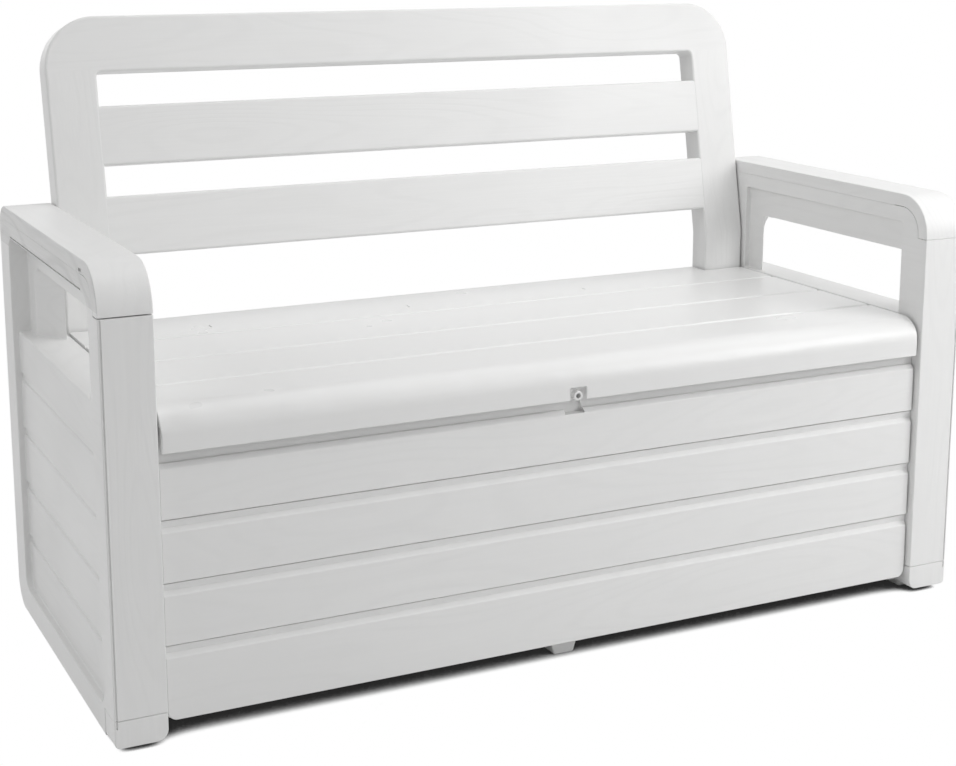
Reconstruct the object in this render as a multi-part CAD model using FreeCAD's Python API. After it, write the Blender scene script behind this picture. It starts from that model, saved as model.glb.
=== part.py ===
import FreeCAD, Part
import math
import os

# An outdoor storage bench of moulded resin, in millimetres.
# While it is built, y is measured from the front face of the posts towards the rear,
# x from the middle of the bench and z from the floor. The last step moves the bench
# so that the bottom centre of its box is the origin, with its front facing -Y.

# Overall sizes
BENCH_WIDTH = 1325.0
SIDE_DEPTH = 570.0
SIDE_THICKNESS = 69.5
ARM_TOP = 625.0
LID_TOP = 441.0
BACK_TOP = 895.0

# Clearances
FIT = 0.3
SEAM = 0.6
LID_END_GAP = 5.0
LID_REAR_GAP = 6.0
LID_NOTCH_GAP = 3.0
PIN_RUN = 0.05
PIN_SEAT = 0.02
SAME_PLACE = 0.001

# Side frames
FRONT_POST = 48.0
REAR_POST = 56.0
REAR_COLUMN = 118.0
ARM_RIM = 43.0
BOTTOM_RIM = 39.0
SIDE_WALL = 5.0
FRONT_TOP_ROUND = 58.0
REAR_TOP_ROUND = 36.0
REAR_BOTTOM_ROUND = 42.0
FRONT_BOTTOM_ROUND = 14.0
SIDE_EDGE_BREAK = 2.5
POST_SEAM_SETBACK = 4.0
POST_SEAM_WIDTH = 1.2
POST_SEAM_DEPTH = 1.5
PLANK_INSET = 9.5
WEB_OUTER_INSET = 25.0
WEB_INNER_INSET = 9.3
RECESS_ROUND = 22.0
INNER_RECESS_ROUND = 4.0
INNER_REAR_RIM = 98.0
WINDOW_HEAD = 46.0
WINDOW_FRONT_WEB = 9.0
WINDOW_INNER_WEB = 78.0
WINDOW_OUTER_WEB = 64.0
WINDOW_ROUND = 30.0
POCKET_ROUND = 14.0
SIDE_LOW_PLANK = 71.5
SIDE_TOP_PLANK = 66.0
SIDE_MIDDLE_PLANKS = 3
SIDE_GROOVE_WIDTH = 6.0
SIDE_GROOVE_DEPTH = 3.0
POCKET_FLOOR = 60.0
SIDE_RIBS = 3
RIB_WALL = 3.0
RIB_DEPTH = 12.0

# Arm caps, foot shoes and pads
CAP_SKIRT = 20.0
CAP_FRONT_DROP = 63.0
CAP_REAR_DROP = 40.0
CAP_SLOT_SETBACK = 77.0
CAP_SLOT_LENGTH = 9.0
CAP_SLOT_HEIGHT = 3.5
CAP_SLOT_DROP = 15.0
CAP_RIBS = 3
CAP_RIB_DROP = 9.0
SHOE_HEIGHT = 38.0
PAD_HEIGHT = 8.0
PAD_WIDTH = 46.0
PAD_LENGTH = 46.0
PAD_CORNER = 6.0
PAD_SETBACK = 38.0

# Planked front and rear panels
PANEL_INSET = 8.0
PANEL_WALL = 5.0
PANEL_BOTTOM = 27.5
PANEL_CORNER_ROUND = 18.0
PANEL_END_RIB = 8.0
PLANK_COUNT = 4
PLANK_DEPTH = 7.0
PLANK_PITCH = 83.4
PLANK_CHANNEL = 14.5
PLANK_BELOW_SKIRT = 19.0
PLANK_FOOT_ROUND = 1.5
TONGUE_LENGTH = 12.0
TONGUE_MARGIN = 30.0
REAR_PANEL_DROP = 9.0

# Floor panel and its centre feet
FLOOR_TOP = 52.0
FLOOR_WALL = 4.0
FLOOR_RIM = 18.0
FLOOR_RIBS = 7
CENTRE_FOOT_TOP = 52.0
CENTRE_FOOT_TIP = 31.0
CENTRE_FOOT_LENGTH = 40.0

# Seat lid
LID_SETBACK = 3.0
LID_WALL = 5.0
LID_SKIRT = 57.0
LID_DEPTH = 25.0
LID_NOSE = 28.0
LID_REAR_ROUND = 4.0
LID_FRONT_BAND = 120.0
LID_REAR_BAND = 135.5
LID_GROOVE_RADIUS = 6.0
LID_GROOVE_DEPTH = 2.5
LID_CROSS_RIBS = 8
LID_BAR_SIZE = 20.0
LID_BAR_WALL = 1.5
LID_BAR_END = 60.0

# Padlock latch
LUG_RADIUS = 6.8
LUG_BORE = 3.6
LUG_RISE = 6.0
LUG_SETBACK = 0.5
LATCH_POCKET_WIDTH = 26.0
LATCH_POCKET_HEIGHT = 18.0
LATCH_PLATE = 3.0
LATCH_PLATE_MARGIN = 4.0
SCOOP_WIDTH = 23.0
SCOOP_FLARE = 32.0
SCOOP_BITE = 4.0
SCOOP_RISE = 15.0
SCOOP_DEPTH = 4.0
SCOOP_BACK = 3.0
SHACKLE_HOLE = 4.5

# Lid hinge
HINGE_SETBACK = 25.4
HINGE_DROP = 11.0
PIN_RADIUS = 5.0
PIN_BOSS = 9.5
PIN_IN_LID = 26.0
PIN_IN_SIDE = 24.0
PIN_END_WALL = 4.0

# Backrest
BACK_SETBACK = 480.4
BACK_LEAN = 10.9
KINK_RISE = 64.0
BACK_THICKNESS = 42.0
BACK_POST_WIDTH = 76.0
BACK_WALL = 5.0
BACK_EDGE_BREAK = 3.0
RAIL_HEIGHT = 82.5
RAIL_ROUND = 78.0
OPENING_ROUND = 8.0
SLAT_HEIGHT = 88.0
SLAT_THICKNESS = 30.0
SLAT_WALL = 4.0
SLAT_ROUND = 5.0
UPPER_SLAT_GAP = 50.3
LOWER_SLAT_GAP = 45.7
TENON_LENGTH = 14.0
TENON_HEIGHT = 60.0
TENON_THICKNESS = 16.0
POST_FOOT = 250.0
BOLT_RADIUS = 4.0
BOLT_HEAD_RADIUS = 8.0
BOLT_HEAD = 5.0
BOLT_REACH = 20.0
BOLT_COUNT = 2
BOLT_PITCH = 55.0
BOLT_RISE = 35.0

# Places worked out from the sizes
HALF_WIDTH = BENCH_WIDTH / 2
INNER_FACE = HALF_WIDTH - SIDE_THICKNESS
SIDE_BOTTOM = PAD_HEIGHT
RIM_UNDERSIDE = ARM_TOP - ARM_RIM
RECESS_BOTTOM = SIDE_BOTTOM + BOTTOM_RIM
RECESS_REAR = SIDE_DEPTH - REAR_POST
COLUMN_FRONT = SIDE_DEPTH - REAR_COLUMN
PLANK_FACE = HALF_WIDTH - PLANK_INSET
PLANK_BACK = PLANK_FACE - SIDE_WALL
SILL_TOP = LID_TOP
SILL_UNDERSIDE = SILL_TOP - SIDE_WALL
LID_UNDER = LID_TOP - LID_DEPTH
SKIRT_BOTTOM = LID_TOP - LID_SKIRT
PLANK_TOP = SKIRT_BOTTOM - PLANK_BELOW_SKIRT
SHEET_FRONT = PANEL_INSET + PLANK_DEPTH
SHEET_BACK = SHEET_FRONT + PANEL_WALL
PANEL_END = INNER_FACE - FIT
LEAN = math.radians(BACK_LEAN)
KINK_Z = LID_TOP + KINK_RISE
POST_OUTER = INNER_FACE - SEAM
POST_INNER = POST_OUTER - BACK_POST_WIDTH
POST_REAR = BACK_SETBACK + BACK_THICKNESS
BACK_LENGTH = (BACK_TOP - KINK_Z) / math.cos(LEAN)
KINK_LAP = BACK_THICKNESS * math.tan(LEAN)
REAR_PANEL_INNER = POST_REAR + FIT
LID_FRONT = LID_SETBACK
LID_REAR = REAR_PANEL_INNER - LID_REAR_GAP
LID_END = INNER_FACE - LID_END_GAP
HINGE_Y = BACK_SETBACK - HINGE_SETBACK
HINGE_Z = LID_TOP - HINGE_DROP
LUG_Z = SKIRT_BOTTOM + LUG_RISE


def vec(x, y, z):
    return FreeCAD.Vector(x, y, z)


def box(x_span, y_span, z_span):
    """Box between two values on each axis."""
    size = [span[1] - span[0] for span in (x_span, y_span, z_span)]
    return Part.makeBox(*size, vec(x_span[0], y_span[0], z_span[0]))


def rect(u_span, v_span):
    """Corners of a rectangle, starting at its low corner."""
    return [
        (u_span[0], v_span[0]),
        (u_span[1], v_span[0]),
        (u_span[1], v_span[1]),
        (u_span[0], v_span[1]),
    ]


def rounded_face(corners, rounds, lay):
    """Face with straight sides and rounded corners. lay puts a flat point into space."""
    flat = [vec(u, v, 0) for u, v in corners]
    stops = []
    for i, corner in enumerate(flat):
        back = (flat[i - 1] - corner).normalize()
        ahead = (flat[(i + 1) % len(flat)] - corner).normalize()
        half_angle = back.getAngle(ahead) / 2
        reach = rounds[i] / math.tan(half_angle)
        middle_way = (back + ahead).normalize()
        inset = rounds[i] / math.sin(half_angle) - rounds[i]
        stops.append((corner + back * reach, corner + middle_way * inset, corner + ahead * reach))
    edges = []
    for i, (start, middle, end) in enumerate(stops):
        last_end = stops[i - 1][2]
        if (start - last_end).Length > SAME_PLACE:
            edges.append(Part.LineSegment(lay(last_end), lay(start)).toShape())
        if rounds[i] > 0:
            edges.append(Part.Arc(lay(start), lay(middle), lay(end)).toShape())
    return Part.Face(Part.Wire(edges))


def prism_x(corners, rounds, x_span):
    """Profile in the YZ plane, drawn out along X."""
    face = rounded_face(corners, rounds, lambda p: vec(x_span[0], p.x, p.y))
    return face.extrude(vec(x_span[1] - x_span[0], 0, 0))


def prism_y(corners, rounds, y_span):
    """Profile in the XZ plane, drawn out along Y."""
    face = rounded_face(corners, rounds, lambda p: vec(p.x, y_span[0], p.y))
    return face.extrude(vec(0, y_span[1] - y_span[0], 0))


def rod_x(radius, x_span, y, z):
    return Part.makeCylinder(radius, x_span[1] - x_span[0], vec(x_span[0], y, z), vec(1, 0, 0))


def rod_y(radius, y_span, x, z):
    return Part.makeCylinder(radius, y_span[1] - y_span[0], vec(x, y_span[0], z), vec(0, 1, 0))


def mirrored(shape):
    """The same piece for the other end of the bench."""
    return shape.mirror(vec(0, 0, 0), vec(1, 0, 0))


def both_ends(shape):
    return [shape, mirrored(shape)]


def flat_edges(shape, axis, values):
    """Edges that lie in the planes where the axis has one of the values."""
    low, high = axis + "Min", axis + "Max"
    found = []
    for edge in shape.Edges:
        bounds = edge.BoundBox
        for value in values:
            misses = [abs(getattr(bounds, side) - value) for side in (low, high)]
            if max(misses) < SAME_PLACE:
                found.append(edge)
    return found


def upright_edges(block):
    return [edge for edge in block.Edges if edge.BoundBox.ZLength > SAME_PLACE]


def spread(count, low, high):
    """Even places inside a span, with the same space at its ends."""
    step = (high - low) / (count + 1)
    return [low + step * (i + 1) for i in range(count)]


# Side frame, drawn for the right end of the bench

def side_outline(inset):
    """Corners and rounds of the side's outline, moved in by the inset."""
    corners = rect((inset, SIDE_DEPTH - inset), (SIDE_BOTTOM + inset, ARM_TOP - inset))
    outer = (FRONT_BOTTOM_ROUND, REAR_BOTTOM_ROUND, REAR_TOP_ROUND, FRONT_TOP_ROUND)
    return corners, [max(round_ - inset, 0) for round_ in outer]


def side_grooves():
    """Heights of the grooves between the planks of the side."""
    low = RECESS_BOTTOM + SIDE_LOW_PLANK
    high = SILL_TOP - SIDE_TOP_PLANK
    step = (high - low) / SIDE_MIDDLE_PLANKS
    return [low + step * i for i in range(SIDE_MIDDLE_PLANKS + 1)]


def side_outer_recesses():
    """Planked recess on the outer face, the deeper one round the window, and the plank grooves."""
    beyond = HALF_WIDTH + SIDE_WALL
    y_span = (FRONT_POST, RECESS_REAR)
    rounds = [RECESS_ROUND] * 4
    cuts = [
        prism_x(rect(y_span, (RECESS_BOTTOM, RIM_UNDERSIDE)), rounds, (PLANK_FACE, beyond)),
        prism_x(
            rect(y_span, (SILL_TOP, RIM_UNDERSIDE)),
            [0, 0, RECESS_ROUND, RECESS_ROUND],
            (HALF_WIDTH - WEB_OUTER_INSET, beyond),
        ),
    ]
    for z in side_grooves():
        bottom = PLANK_FACE - SIDE_GROOVE_DEPTH
        groove = [
            (bottom, z),
            (PLANK_FACE + SIDE_GROOVE_DEPTH, z - SIDE_GROOVE_WIDTH),
            (PLANK_FACE + SIDE_GROOVE_DEPTH, z + SIDE_GROOVE_WIDTH),
        ]
        cuts.append(prism_y(groove, [0, 0, 0], y_span))
    return cuts


def post_seam():
    """Fine line down the outer face of the front post, where its facing meets the side."""
    return box(
        (HALF_WIDTH - POST_SEAM_DEPTH, HALF_WIDTH + SIDE_WALL),
        (POST_SEAM_SETBACK, POST_SEAM_SETBACK + POST_SEAM_WIDTH),
        (SIDE_BOTTOM + FRONT_BOTTOM_ROUND, ARM_TOP - CAP_FRONT_DROP),
    )


def side_openings():
    """Window under the arm, the recess round it on the inner face, and the storage pocket."""
    window_front = FRONT_POST + WINDOW_FRONT_WEB
    window_z = (SILL_TOP, RIM_UNDERSIDE - WINDOW_HEAD)
    middle = (INNER_FACE + HALF_WIDTH) / 2
    inner_window = box((INNER_FACE, middle), (window_front, RECESS_REAR - WINDOW_INNER_WEB), window_z)
    outer_window = prism_x(
        rect((window_front, RECESS_REAR - WINDOW_OUTER_WEB), window_z),
        [0, 0, WINDOW_ROUND, 0],
        (middle, HALF_WIDTH),
    )
    inner_y = (window_front, SIDE_DEPTH - INNER_REAR_RIM)
    inner_x = (INNER_FACE - SIDE_WALL, INNER_FACE + WEB_INNER_INSET)
    inner_rounds = [0, 0, INNER_RECESS_ROUND, INNER_RECESS_ROUND]
    inner = prism_x(rect(inner_y, (SILL_TOP, RIM_UNDERSIDE)), inner_rounds, inner_x)
    pocket_y = (FRONT_POST + SIDE_WALL, COLUMN_FRONT)
    pocket_z = (POCKET_FLOOR, SKIRT_BOTTOM)
    pocket = prism_x(rect(pocket_y, pocket_z), [POCKET_ROUND] * 4, (INNER_FACE - SIDE_WALL, PLANK_BACK))
    sill_z = (SKIRT_BOTTOM - SIDE_WALL, SILL_UNDERSIDE)
    sill_room = box((INNER_FACE + SIDE_WALL, PLANK_BACK), pocket_y, sill_z)
    return [inner_window, outer_window, inner, pocket, sill_room]


def side_hollow():
    """Hollow of the rim, a ring inside the arm, both posts and the bottom rail, and of the rear column."""
    x_span = (INNER_FACE + SIDE_WALL, HALF_WIDTH - SIDE_WALL)
    ring = prism_x(*side_outline(SIDE_WALL), x_span)
    core_y = (FRONT_POST - SIDE_WALL, RECESS_REAR + SIDE_WALL)
    core_z = (RECESS_BOTTOM - SIDE_WALL, RIM_UNDERSIDE + SIDE_WALL)
    ring = ring.cut(box((INNER_FACE, HALF_WIDTH), core_y, core_z))
    column_y = (COLUMN_FRONT + SIDE_WALL, RECESS_REAR + SIDE_WALL * 2)
    column = box((INNER_FACE + SIDE_WALL, PLANK_BACK), column_y, (POCKET_FLOOR, SILL_UNDERSIDE))
    web_x = (INNER_FACE + WEB_INNER_INSET + SIDE_WALL, HALF_WIDTH - WEB_OUTER_INSET - SIDE_WALL)
    web_rear = RECESS_REAR - SIDE_WALL
    head_z = (RIM_UNDERSIDE - WINDOW_HEAD + SIDE_WALL, RIM_UNDERSIDE + SIDE_WALL * 2)
    head = box(web_x, (FRONT_POST + SIDE_WALL * 2, web_rear), head_z)
    jamb = box(web_x, (column_y[0], web_rear), (SILL_UNDERSIDE - SIDE_WALL, head_z[1]))
    return [ring, column, head, jamb]


def side_ribs():
    """Upright stiffeners on the inside of the planked wall."""
    ribs = []
    for y in spread(SIDE_RIBS, FRONT_POST, COLUMN_FRONT):
        ribs.append(
            box(
                (PLANK_BACK - RIB_DEPTH, PLANK_BACK),
                (y - RIB_WALL / 2, y + RIB_WALL / 2),
                (POCKET_FLOOR, SILL_UNDERSIDE),
            )
        )
    return ribs


def tongue_span(grow):
    return (POCKET_FLOOR - grow, SKIRT_BOTTOM - TONGUE_MARGIN + grow)


def side_body():
    """Whole moulding of one side, before the arm cap and the foot shoe are parted from it."""
    body = prism_x(*side_outline(0), (INNER_FACE, HALF_WIDTH))
    body = body.makeChamfer(SIDE_EDGE_BREAK, flat_edges(body, "X", (INNER_FACE, HALF_WIDTH)))
    body = body.cut(side_outer_recesses() + side_openings() + side_hollow() + [post_seam()])
    pin_seat = rod_x(PIN_BOSS, (INNER_FACE, INNER_FACE + PIN_IN_SIDE + PIN_END_WALL), HINGE_Y, HINGE_Z)
    body = body.fuse(side_ribs() + [pin_seat])
    slot_x = (INNER_FACE - SIDE_WALL, INNER_FACE + SIDE_WALL * 2)
    cuts = [
        rod_x(PIN_RADIUS + PIN_SEAT, (INNER_FACE - SIDE_WALL, INNER_FACE + PIN_IN_SIDE), HINGE_Y, HINGE_Z),
        box(slot_x, (SHEET_FRONT - FIT, SHEET_BACK + FIT), tongue_span(FIT)),
        box(slot_x, (REAR_PANEL_INNER - FIT, REAR_PANEL_INNER + PANEL_WALL + FIT), tongue_span(FIT)),
    ]
    for y, z in bolt_places():
        cuts.append(rod_x(BOLT_RADIUS + FIT, slot_x, y, z))
    return body.cut(cuts).removeSplitter()


def cap_room(skirt):
    """Space of the arm cap: a band along the outline, from the front seam over the arm to the rear."""
    across = (INNER_FACE - SIDE_WALL, HALF_WIDTH + SIDE_WALL)
    middle = SIDE_DEPTH / 2
    extra = CAP_SKIRT - skirt
    front = box(across, (-SIDE_WALL, middle), (ARM_TOP - CAP_FRONT_DROP + extra, ARM_TOP + SIDE_WALL))
    rear_span = (middle, SIDE_DEPTH + SIDE_WALL)
    rear = box(across, rear_span, (ARM_TOP - CAP_REAR_DROP + extra, ARM_TOP + SIDE_WALL))
    return front.fuse(rear).cut(prism_x(*side_outline(skirt), across))


def shoe_room(height):
    across = (INNER_FACE - SIDE_WALL, HALF_WIDTH + SIDE_WALL)
    return box(across, (-SIDE_WALL, FRONT_POST + height - SHOE_HEIGHT), (0, SIDE_BOTTOM + height))


def arm_cap(body):
    """Moulded trim over the arm, with locating ribs that drop into the arm's channel."""
    cap = body.common(cap_room(CAP_SKIRT - SEAM))
    rib_z = (ARM_TOP - CAP_SKIRT - CAP_RIB_DROP, ARM_TOP - SIDE_WALL)
    ribs = []
    for y in spread(CAP_RIBS, FRONT_TOP_ROUND, SIDE_DEPTH - REAR_TOP_ROUND):
        across = (INNER_FACE + SIDE_WALL + FIT, HALF_WIDTH - SIDE_WALL - FIT)
        ribs.append(box(across, (y - RIB_WALL / 2, y + RIB_WALL / 2), rib_z))
    slot_z = ARM_TOP - CAP_SLOT_DROP
    slot = box(
        (HALF_WIDTH - SIDE_WALL * 2, HALF_WIDTH + SIDE_WALL),
        (CAP_SLOT_SETBACK - CAP_SLOT_LENGTH / 2, CAP_SLOT_SETBACK + CAP_SLOT_LENGTH / 2),
        (slot_z - CAP_SLOT_HEIGHT / 2, slot_z + CAP_SLOT_HEIGHT / 2),
    )
    return cap.fuse(ribs).cut(slot).removeSplitter()


def foot_shoe(body):
    return body.common(shoe_room(SHOE_HEIGHT - SEAM))


def side_frame(body):
    return body.cut([cap_room(CAP_SKIRT), shoe_room(SHOE_HEIGHT)])


def foot_pad(x, y_span):
    """Glide under a corner, with its corners cut off."""
    pad = box((x - PAD_WIDTH / 2, x + PAD_WIDTH / 2), y_span, (0, PAD_HEIGHT))
    return pad.makeChamfer(PAD_CORNER, upright_edges(pad))


# Planked panels between the side frames

def plank_spans():
    """Bottom and top of each plank, from the top one down."""
    spans = []
    for i in range(PLANK_COUNT):
        top = PLANK_TOP - PLANK_PITCH * i
        last = i == PLANK_COUNT - 1
        bottom = PANEL_BOTTOM if last else top - PLANK_PITCH + PLANK_CHANNEL
        spans.append((bottom, top))
    return spans


def planked_panel(top):
    """Moulded sheet with a hollow plank relief on its front, and tongues at both ends."""
    across = (-PANEL_END, PANEL_END)
    sheet = box(across, (SHEET_FRONT, SHEET_BACK), (PANEL_BOTTOM, top))
    planks = []
    hollows = []
    for bottom, plank_top in plank_spans():
        profile = rect((PANEL_INSET, SHEET_BACK), (bottom, plank_top))
        planks.append(prism_x(profile, [PLANK_FOOT_ROUND, 0, 0, PLANK_DEPTH - FIT], across))
        hollow_x = (-PANEL_END + PANEL_END_RIB, PANEL_END - PANEL_END_RIB)
        hollow_y = (PANEL_INSET + PANEL_WALL, SHEET_BACK + PANEL_WALL)
        hollows.append(box(hollow_x, hollow_y, (bottom + PANEL_WALL, plank_top - PANEL_WALL)))
    panel = sheet.fuse(planks).cut(hollows)
    rounds = [PANEL_CORNER_ROUND, PANEL_CORNER_ROUND, 0, 0]
    panel = panel.common(prism_y(rect(across, (PANEL_BOTTOM, top)), rounds, (0, SHEET_BACK * 2)))
    tongue = box(
        (PANEL_END - PANEL_END_RIB, INNER_FACE + TONGUE_LENGTH),
        (SHEET_FRONT, SHEET_BACK),
        tongue_span(0),
    )
    return panel.fuse(both_ends(tongue)).removeSplitter()


def front_panel():
    """Front panel, with the scoop and the hole for a padlock's shackle below the lid's lug."""
    panel = planked_panel(LID_UNDER)
    low = PLANK_TOP - SCOOP_BITE
    high = PLANK_TOP + SCOOP_RISE
    backing = box(
        (-SCOOP_FLARE / 2, SCOOP_FLARE / 2),
        (SHEET_BACK - FIT, SHEET_BACK + SCOOP_BACK),
        (low - SCOOP_BACK, high + SCOOP_BACK),
    )
    scoop = [
        (-SCOOP_FLARE / 2, low),
        (SCOOP_FLARE / 2, low),
        (SCOOP_WIDTH / 2, PLANK_TOP + SCOOP_BITE),
        (SCOOP_WIDTH / 2, high),
        (-SCOOP_WIDTH / 2, high),
        (-SCOOP_WIDTH / 2, PLANK_TOP + SCOOP_BITE),
    ]
    recess = prism_y(scoop, [0] * len(scoop), (0, SHEET_FRONT + SCOOP_DEPTH))
    hole = rod_y(SHACKLE_HOLE, (0, SHEET_BACK * 2), 0, LUG_Z)
    return panel.fuse(backing).cut([recess, hole]).removeSplitter()


def rear_panel():
    """Rear panel, the same moulding turned to face the rear."""
    panel = planked_panel(LID_TOP - REAR_PANEL_DROP)
    return panel.mirror(vec(0, 0, 0), vec(0, 1, 0)).translated(vec(0, REAR_PANEL_INNER + SHEET_BACK, 0))


def floor_panel():
    """Ribbed tray that closes the bottom of the storage space."""
    y_span = (SHEET_BACK + FIT, REAR_PANEL_INNER - FIT)
    x_span = (-PANEL_END, PANEL_END)
    floor = box(x_span, y_span, (FLOOR_TOP - FLOOR_RIM, FLOOR_TOP))
    room = box(
        (x_span[0] + FLOOR_WALL, x_span[1] - FLOOR_WALL),
        (y_span[0] + FLOOR_WALL, y_span[1] - FLOOR_WALL),
        (0, FLOOR_TOP - FLOOR_WALL),
    )
    ribs = []
    for x in spread(FLOOR_RIBS, *x_span):
        ribs.append(box((x - RIB_WALL / 2, x + RIB_WALL / 2), y_span, (FLOOR_TOP - FLOOR_RIM, FLOOR_TOP)))
    return floor.cut(room).fuse(ribs).removeSplitter()


def centre_foot(y_span):
    """Tapered foot under the middle of the floor."""
    top = FLOOR_TOP - FLOOR_RIM
    profile = [
        (-CENTRE_FOOT_TIP / 2, 0),
        (CENTRE_FOOT_TIP / 2, 0),
        (CENTRE_FOOT_TOP / 2, top),
        (-CENTRE_FOOT_TOP / 2, top),
    ]
    return prism_y(profile, [0] * len(profile), y_span)


# Seat lid

def lid_groove_places():
    front = LID_FRONT + LID_FRONT_BAND
    rear = LID_REAR - LID_REAR_BAND
    return [front, (front + rear) / 2, rear]


def lid_ribs():
    """Ribs under the lid, along each groove and across."""
    x_span = (-LID_END, LID_END)
    y_span = (LID_FRONT, LID_REAR)
    z_span = (LID_UNDER, LID_TOP - LID_WALL)
    inner_y = (y_span[0] + LID_NOSE, y_span[1])
    ribs = []
    for y in lid_groove_places():
        ribs.append(box(x_span, (y - LID_GROOVE_RADIUS, y + LID_GROOVE_RADIUS), z_span))
    for x in spread(LID_CROSS_RIBS, *x_span):
        ribs.append(box((x - RIB_WALL / 2, x + RIB_WALL / 2), inner_y, z_span))
    return ribs


def lid_shell():
    """Top, rounded nose, skirts and end walls, with grooves between the seat's bands."""
    profile = [
        (LID_FRONT, SKIRT_BOTTOM),
        (LID_FRONT + LID_WALL, SKIRT_BOTTOM),
        (LID_FRONT + LID_WALL, LID_UNDER),
        (LID_REAR, LID_UNDER),
        (LID_REAR, LID_TOP),
        (LID_FRONT, LID_TOP),
    ]
    shell = prism_x(profile, [0, 0, 0, 0, LID_REAR_ROUND, LID_NOSE], (-LID_END, LID_END))
    room_y = (LID_FRONT + LID_WALL, LID_REAR - LID_WALL)
    room_z = (LID_UNDER - LID_WALL, LID_TOP - LID_WALL)
    room_x = (-LID_END + LID_WALL, LID_END - LID_WALL)
    room = prism_x(rect(room_y, room_z), [0, 0, 0, LID_NOSE - LID_WALL], room_x)
    return shell.cut(room)


def lid_notch(grow):
    """Corner of the lid that makes way for a backrest post."""
    edge = POST_INNER - LID_NOTCH_GAP - grow
    front = BACK_SETBACK - LID_NOTCH_GAP - SEAM - grow
    return edge, front


def lid_hardware():
    """Walls round the post notches and the bosses for the hinge pins, one end."""
    edge, front = lid_notch(LID_WALL)
    walls = box((edge, LID_END), (front, LID_REAR), (LID_UNDER, LID_TOP - LID_WALL))
    boss = rod_x(PIN_BOSS, (LID_END - PIN_IN_LID - PIN_END_WALL, LID_END), HINGE_Y, HINGE_Z)
    return walls.fuse(boss)


def lid_cuts():
    """Post notches, pin bores, grooves and the latch pocket."""
    edge, front = lid_notch(0)
    notch = box((edge, HALF_WIDTH), (front, SIDE_DEPTH), (SKIRT_BOTTOM, ARM_TOP))
    bore = rod_x(PIN_RADIUS + PIN_RUN, (LID_END - PIN_IN_LID, HALF_WIDTH), HINGE_Y, HINGE_Z)
    cuts = both_ends(notch) + both_ends(bore)
    for y in lid_groove_places():
        centre = LID_TOP + LID_GROOVE_RADIUS - LID_GROOVE_DEPTH
        cuts.append(rod_x(LID_GROOVE_RADIUS, (-HALF_WIDTH, HALF_WIDTH), y, centre))
    half = LATCH_POCKET_WIDTH / 2
    pocket_z = (SKIRT_BOTTOM - LID_WALL, SKIRT_BOTTOM + LATCH_POCKET_HEIGHT)
    cuts.append(box((-half, half), (0, LID_FRONT + LID_WALL), pocket_z))
    return cuts


def seat_lid():
    half = LATCH_POCKET_WIDTH / 2 + LATCH_PLATE_MARGIN
    plate_z = (SKIRT_BOTTOM, SKIRT_BOTTOM + LATCH_POCKET_HEIGHT + LATCH_PLATE_MARGIN)
    plate_y = (LID_FRONT + FIT, LID_FRONT + LID_WALL + LATCH_PLATE)
    plate = box((-half, half), plate_y, plate_z)
    lid = lid_shell().fuse(lid_ribs() + both_ends(lid_hardware()) + [plate])
    lid = lid.cut(lid_cuts())
    lug = rod_y(LUG_RADIUS, (LID_FRONT + LUG_SETBACK, LID_FRONT + LID_WALL + LATCH_PLATE), 0, LUG_Z)
    lug_bore = rod_y(LUG_BORE, (0, SHEET_BACK), 0, LUG_Z)
    return lid.fuse(lug).cut(lug_bore).removeSplitter()


def lid_bar(y):
    """Square steel tube that stiffens the lid from below."""
    half = LID_BAR_SIZE / 2
    x_span = (-LID_END + LID_BAR_END, LID_END - LID_BAR_END)
    z_span = (LID_UNDER - LID_BAR_SIZE, LID_UNDER)
    tube = box(x_span, (y - half, y + half), z_span)
    bore_y = (y - half + LID_BAR_WALL, y + half - LID_BAR_WALL)
    bore_z = (z_span[0] + LID_BAR_WALL, z_span[1] - LID_BAR_WALL)
    return tube.cut(box(x_span, bore_y, bore_z))


def hinge_pin():
    return rod_x(PIN_RADIUS, (LID_END - PIN_IN_LID + FIT, INNER_FACE + PIN_IN_SIDE - FIT), HINGE_Y, HINGE_Z)


# Backrest, drawn upright and then leant about the kink of its posts

def leant(shape):
    return shape.rotated(vec(0, BACK_SETBACK, KINK_Z), vec(1, 0, 0), -BACK_LEAN)


def bent(upper, lower):
    """A leant length and an upright one, joined in the mitre plane through the kink."""
    reach = (-BACK_TOP, BACK_TOP)
    above = box(reach, reach, (KINK_Z, BACK_TOP + KINK_Z))
    above = above.rotated(vec(0, BACK_SETBACK, KINK_Z), vec(1, 0, 0), -BACK_LEAN / 2)
    return leant(upper).common(above).fuse([piece.cut(above) for piece in lower])


def back_board(x_span, v_span, w_span):
    """Upright box, with heights from the kink and depths from the backrest's front."""
    y_span = (BACK_SETBACK + w_span[0], BACK_SETBACK + w_span[1])
    return box(x_span, y_span, (KINK_Z + v_span[0], KINK_Z + v_span[1]))


def back_arch(inset, w_span):
    """Two posts and the top rail as one arch, moved in by the inset."""
    outer = POST_OUTER - inset
    inner = POST_INNER + inset
    top = KINK_Z + BACK_LENGTH - inset
    under = KINK_Z + BACK_LENGTH - RAIL_HEIGHT + inset
    foot = KINK_Z - KINK_LAP
    corners = [
        (-outer, foot),
        (-inner, foot),
        (-inner, under),
        (inner, under),
        (inner, foot),
        (outer, foot),
        (outer, top),
        (-outer, top),
    ]
    inside = OPENING_ROUND + inset
    rounds = [0, 0, inside, inside, 0, 0, RAIL_ROUND - inset, RAIL_ROUND - inset]
    return prism_y(corners, rounds, (BACK_SETBACK + w_span[0], BACK_SETBACK + w_span[1]))


def arch_edges(arch, places):
    """Edges of the arch in its front and rear planes, without those across the ends of its posts."""
    return [edge for edge in flat_edges(arch, "Y", places) if edge.BoundBox.ZMax > KINK_Z]


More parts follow.
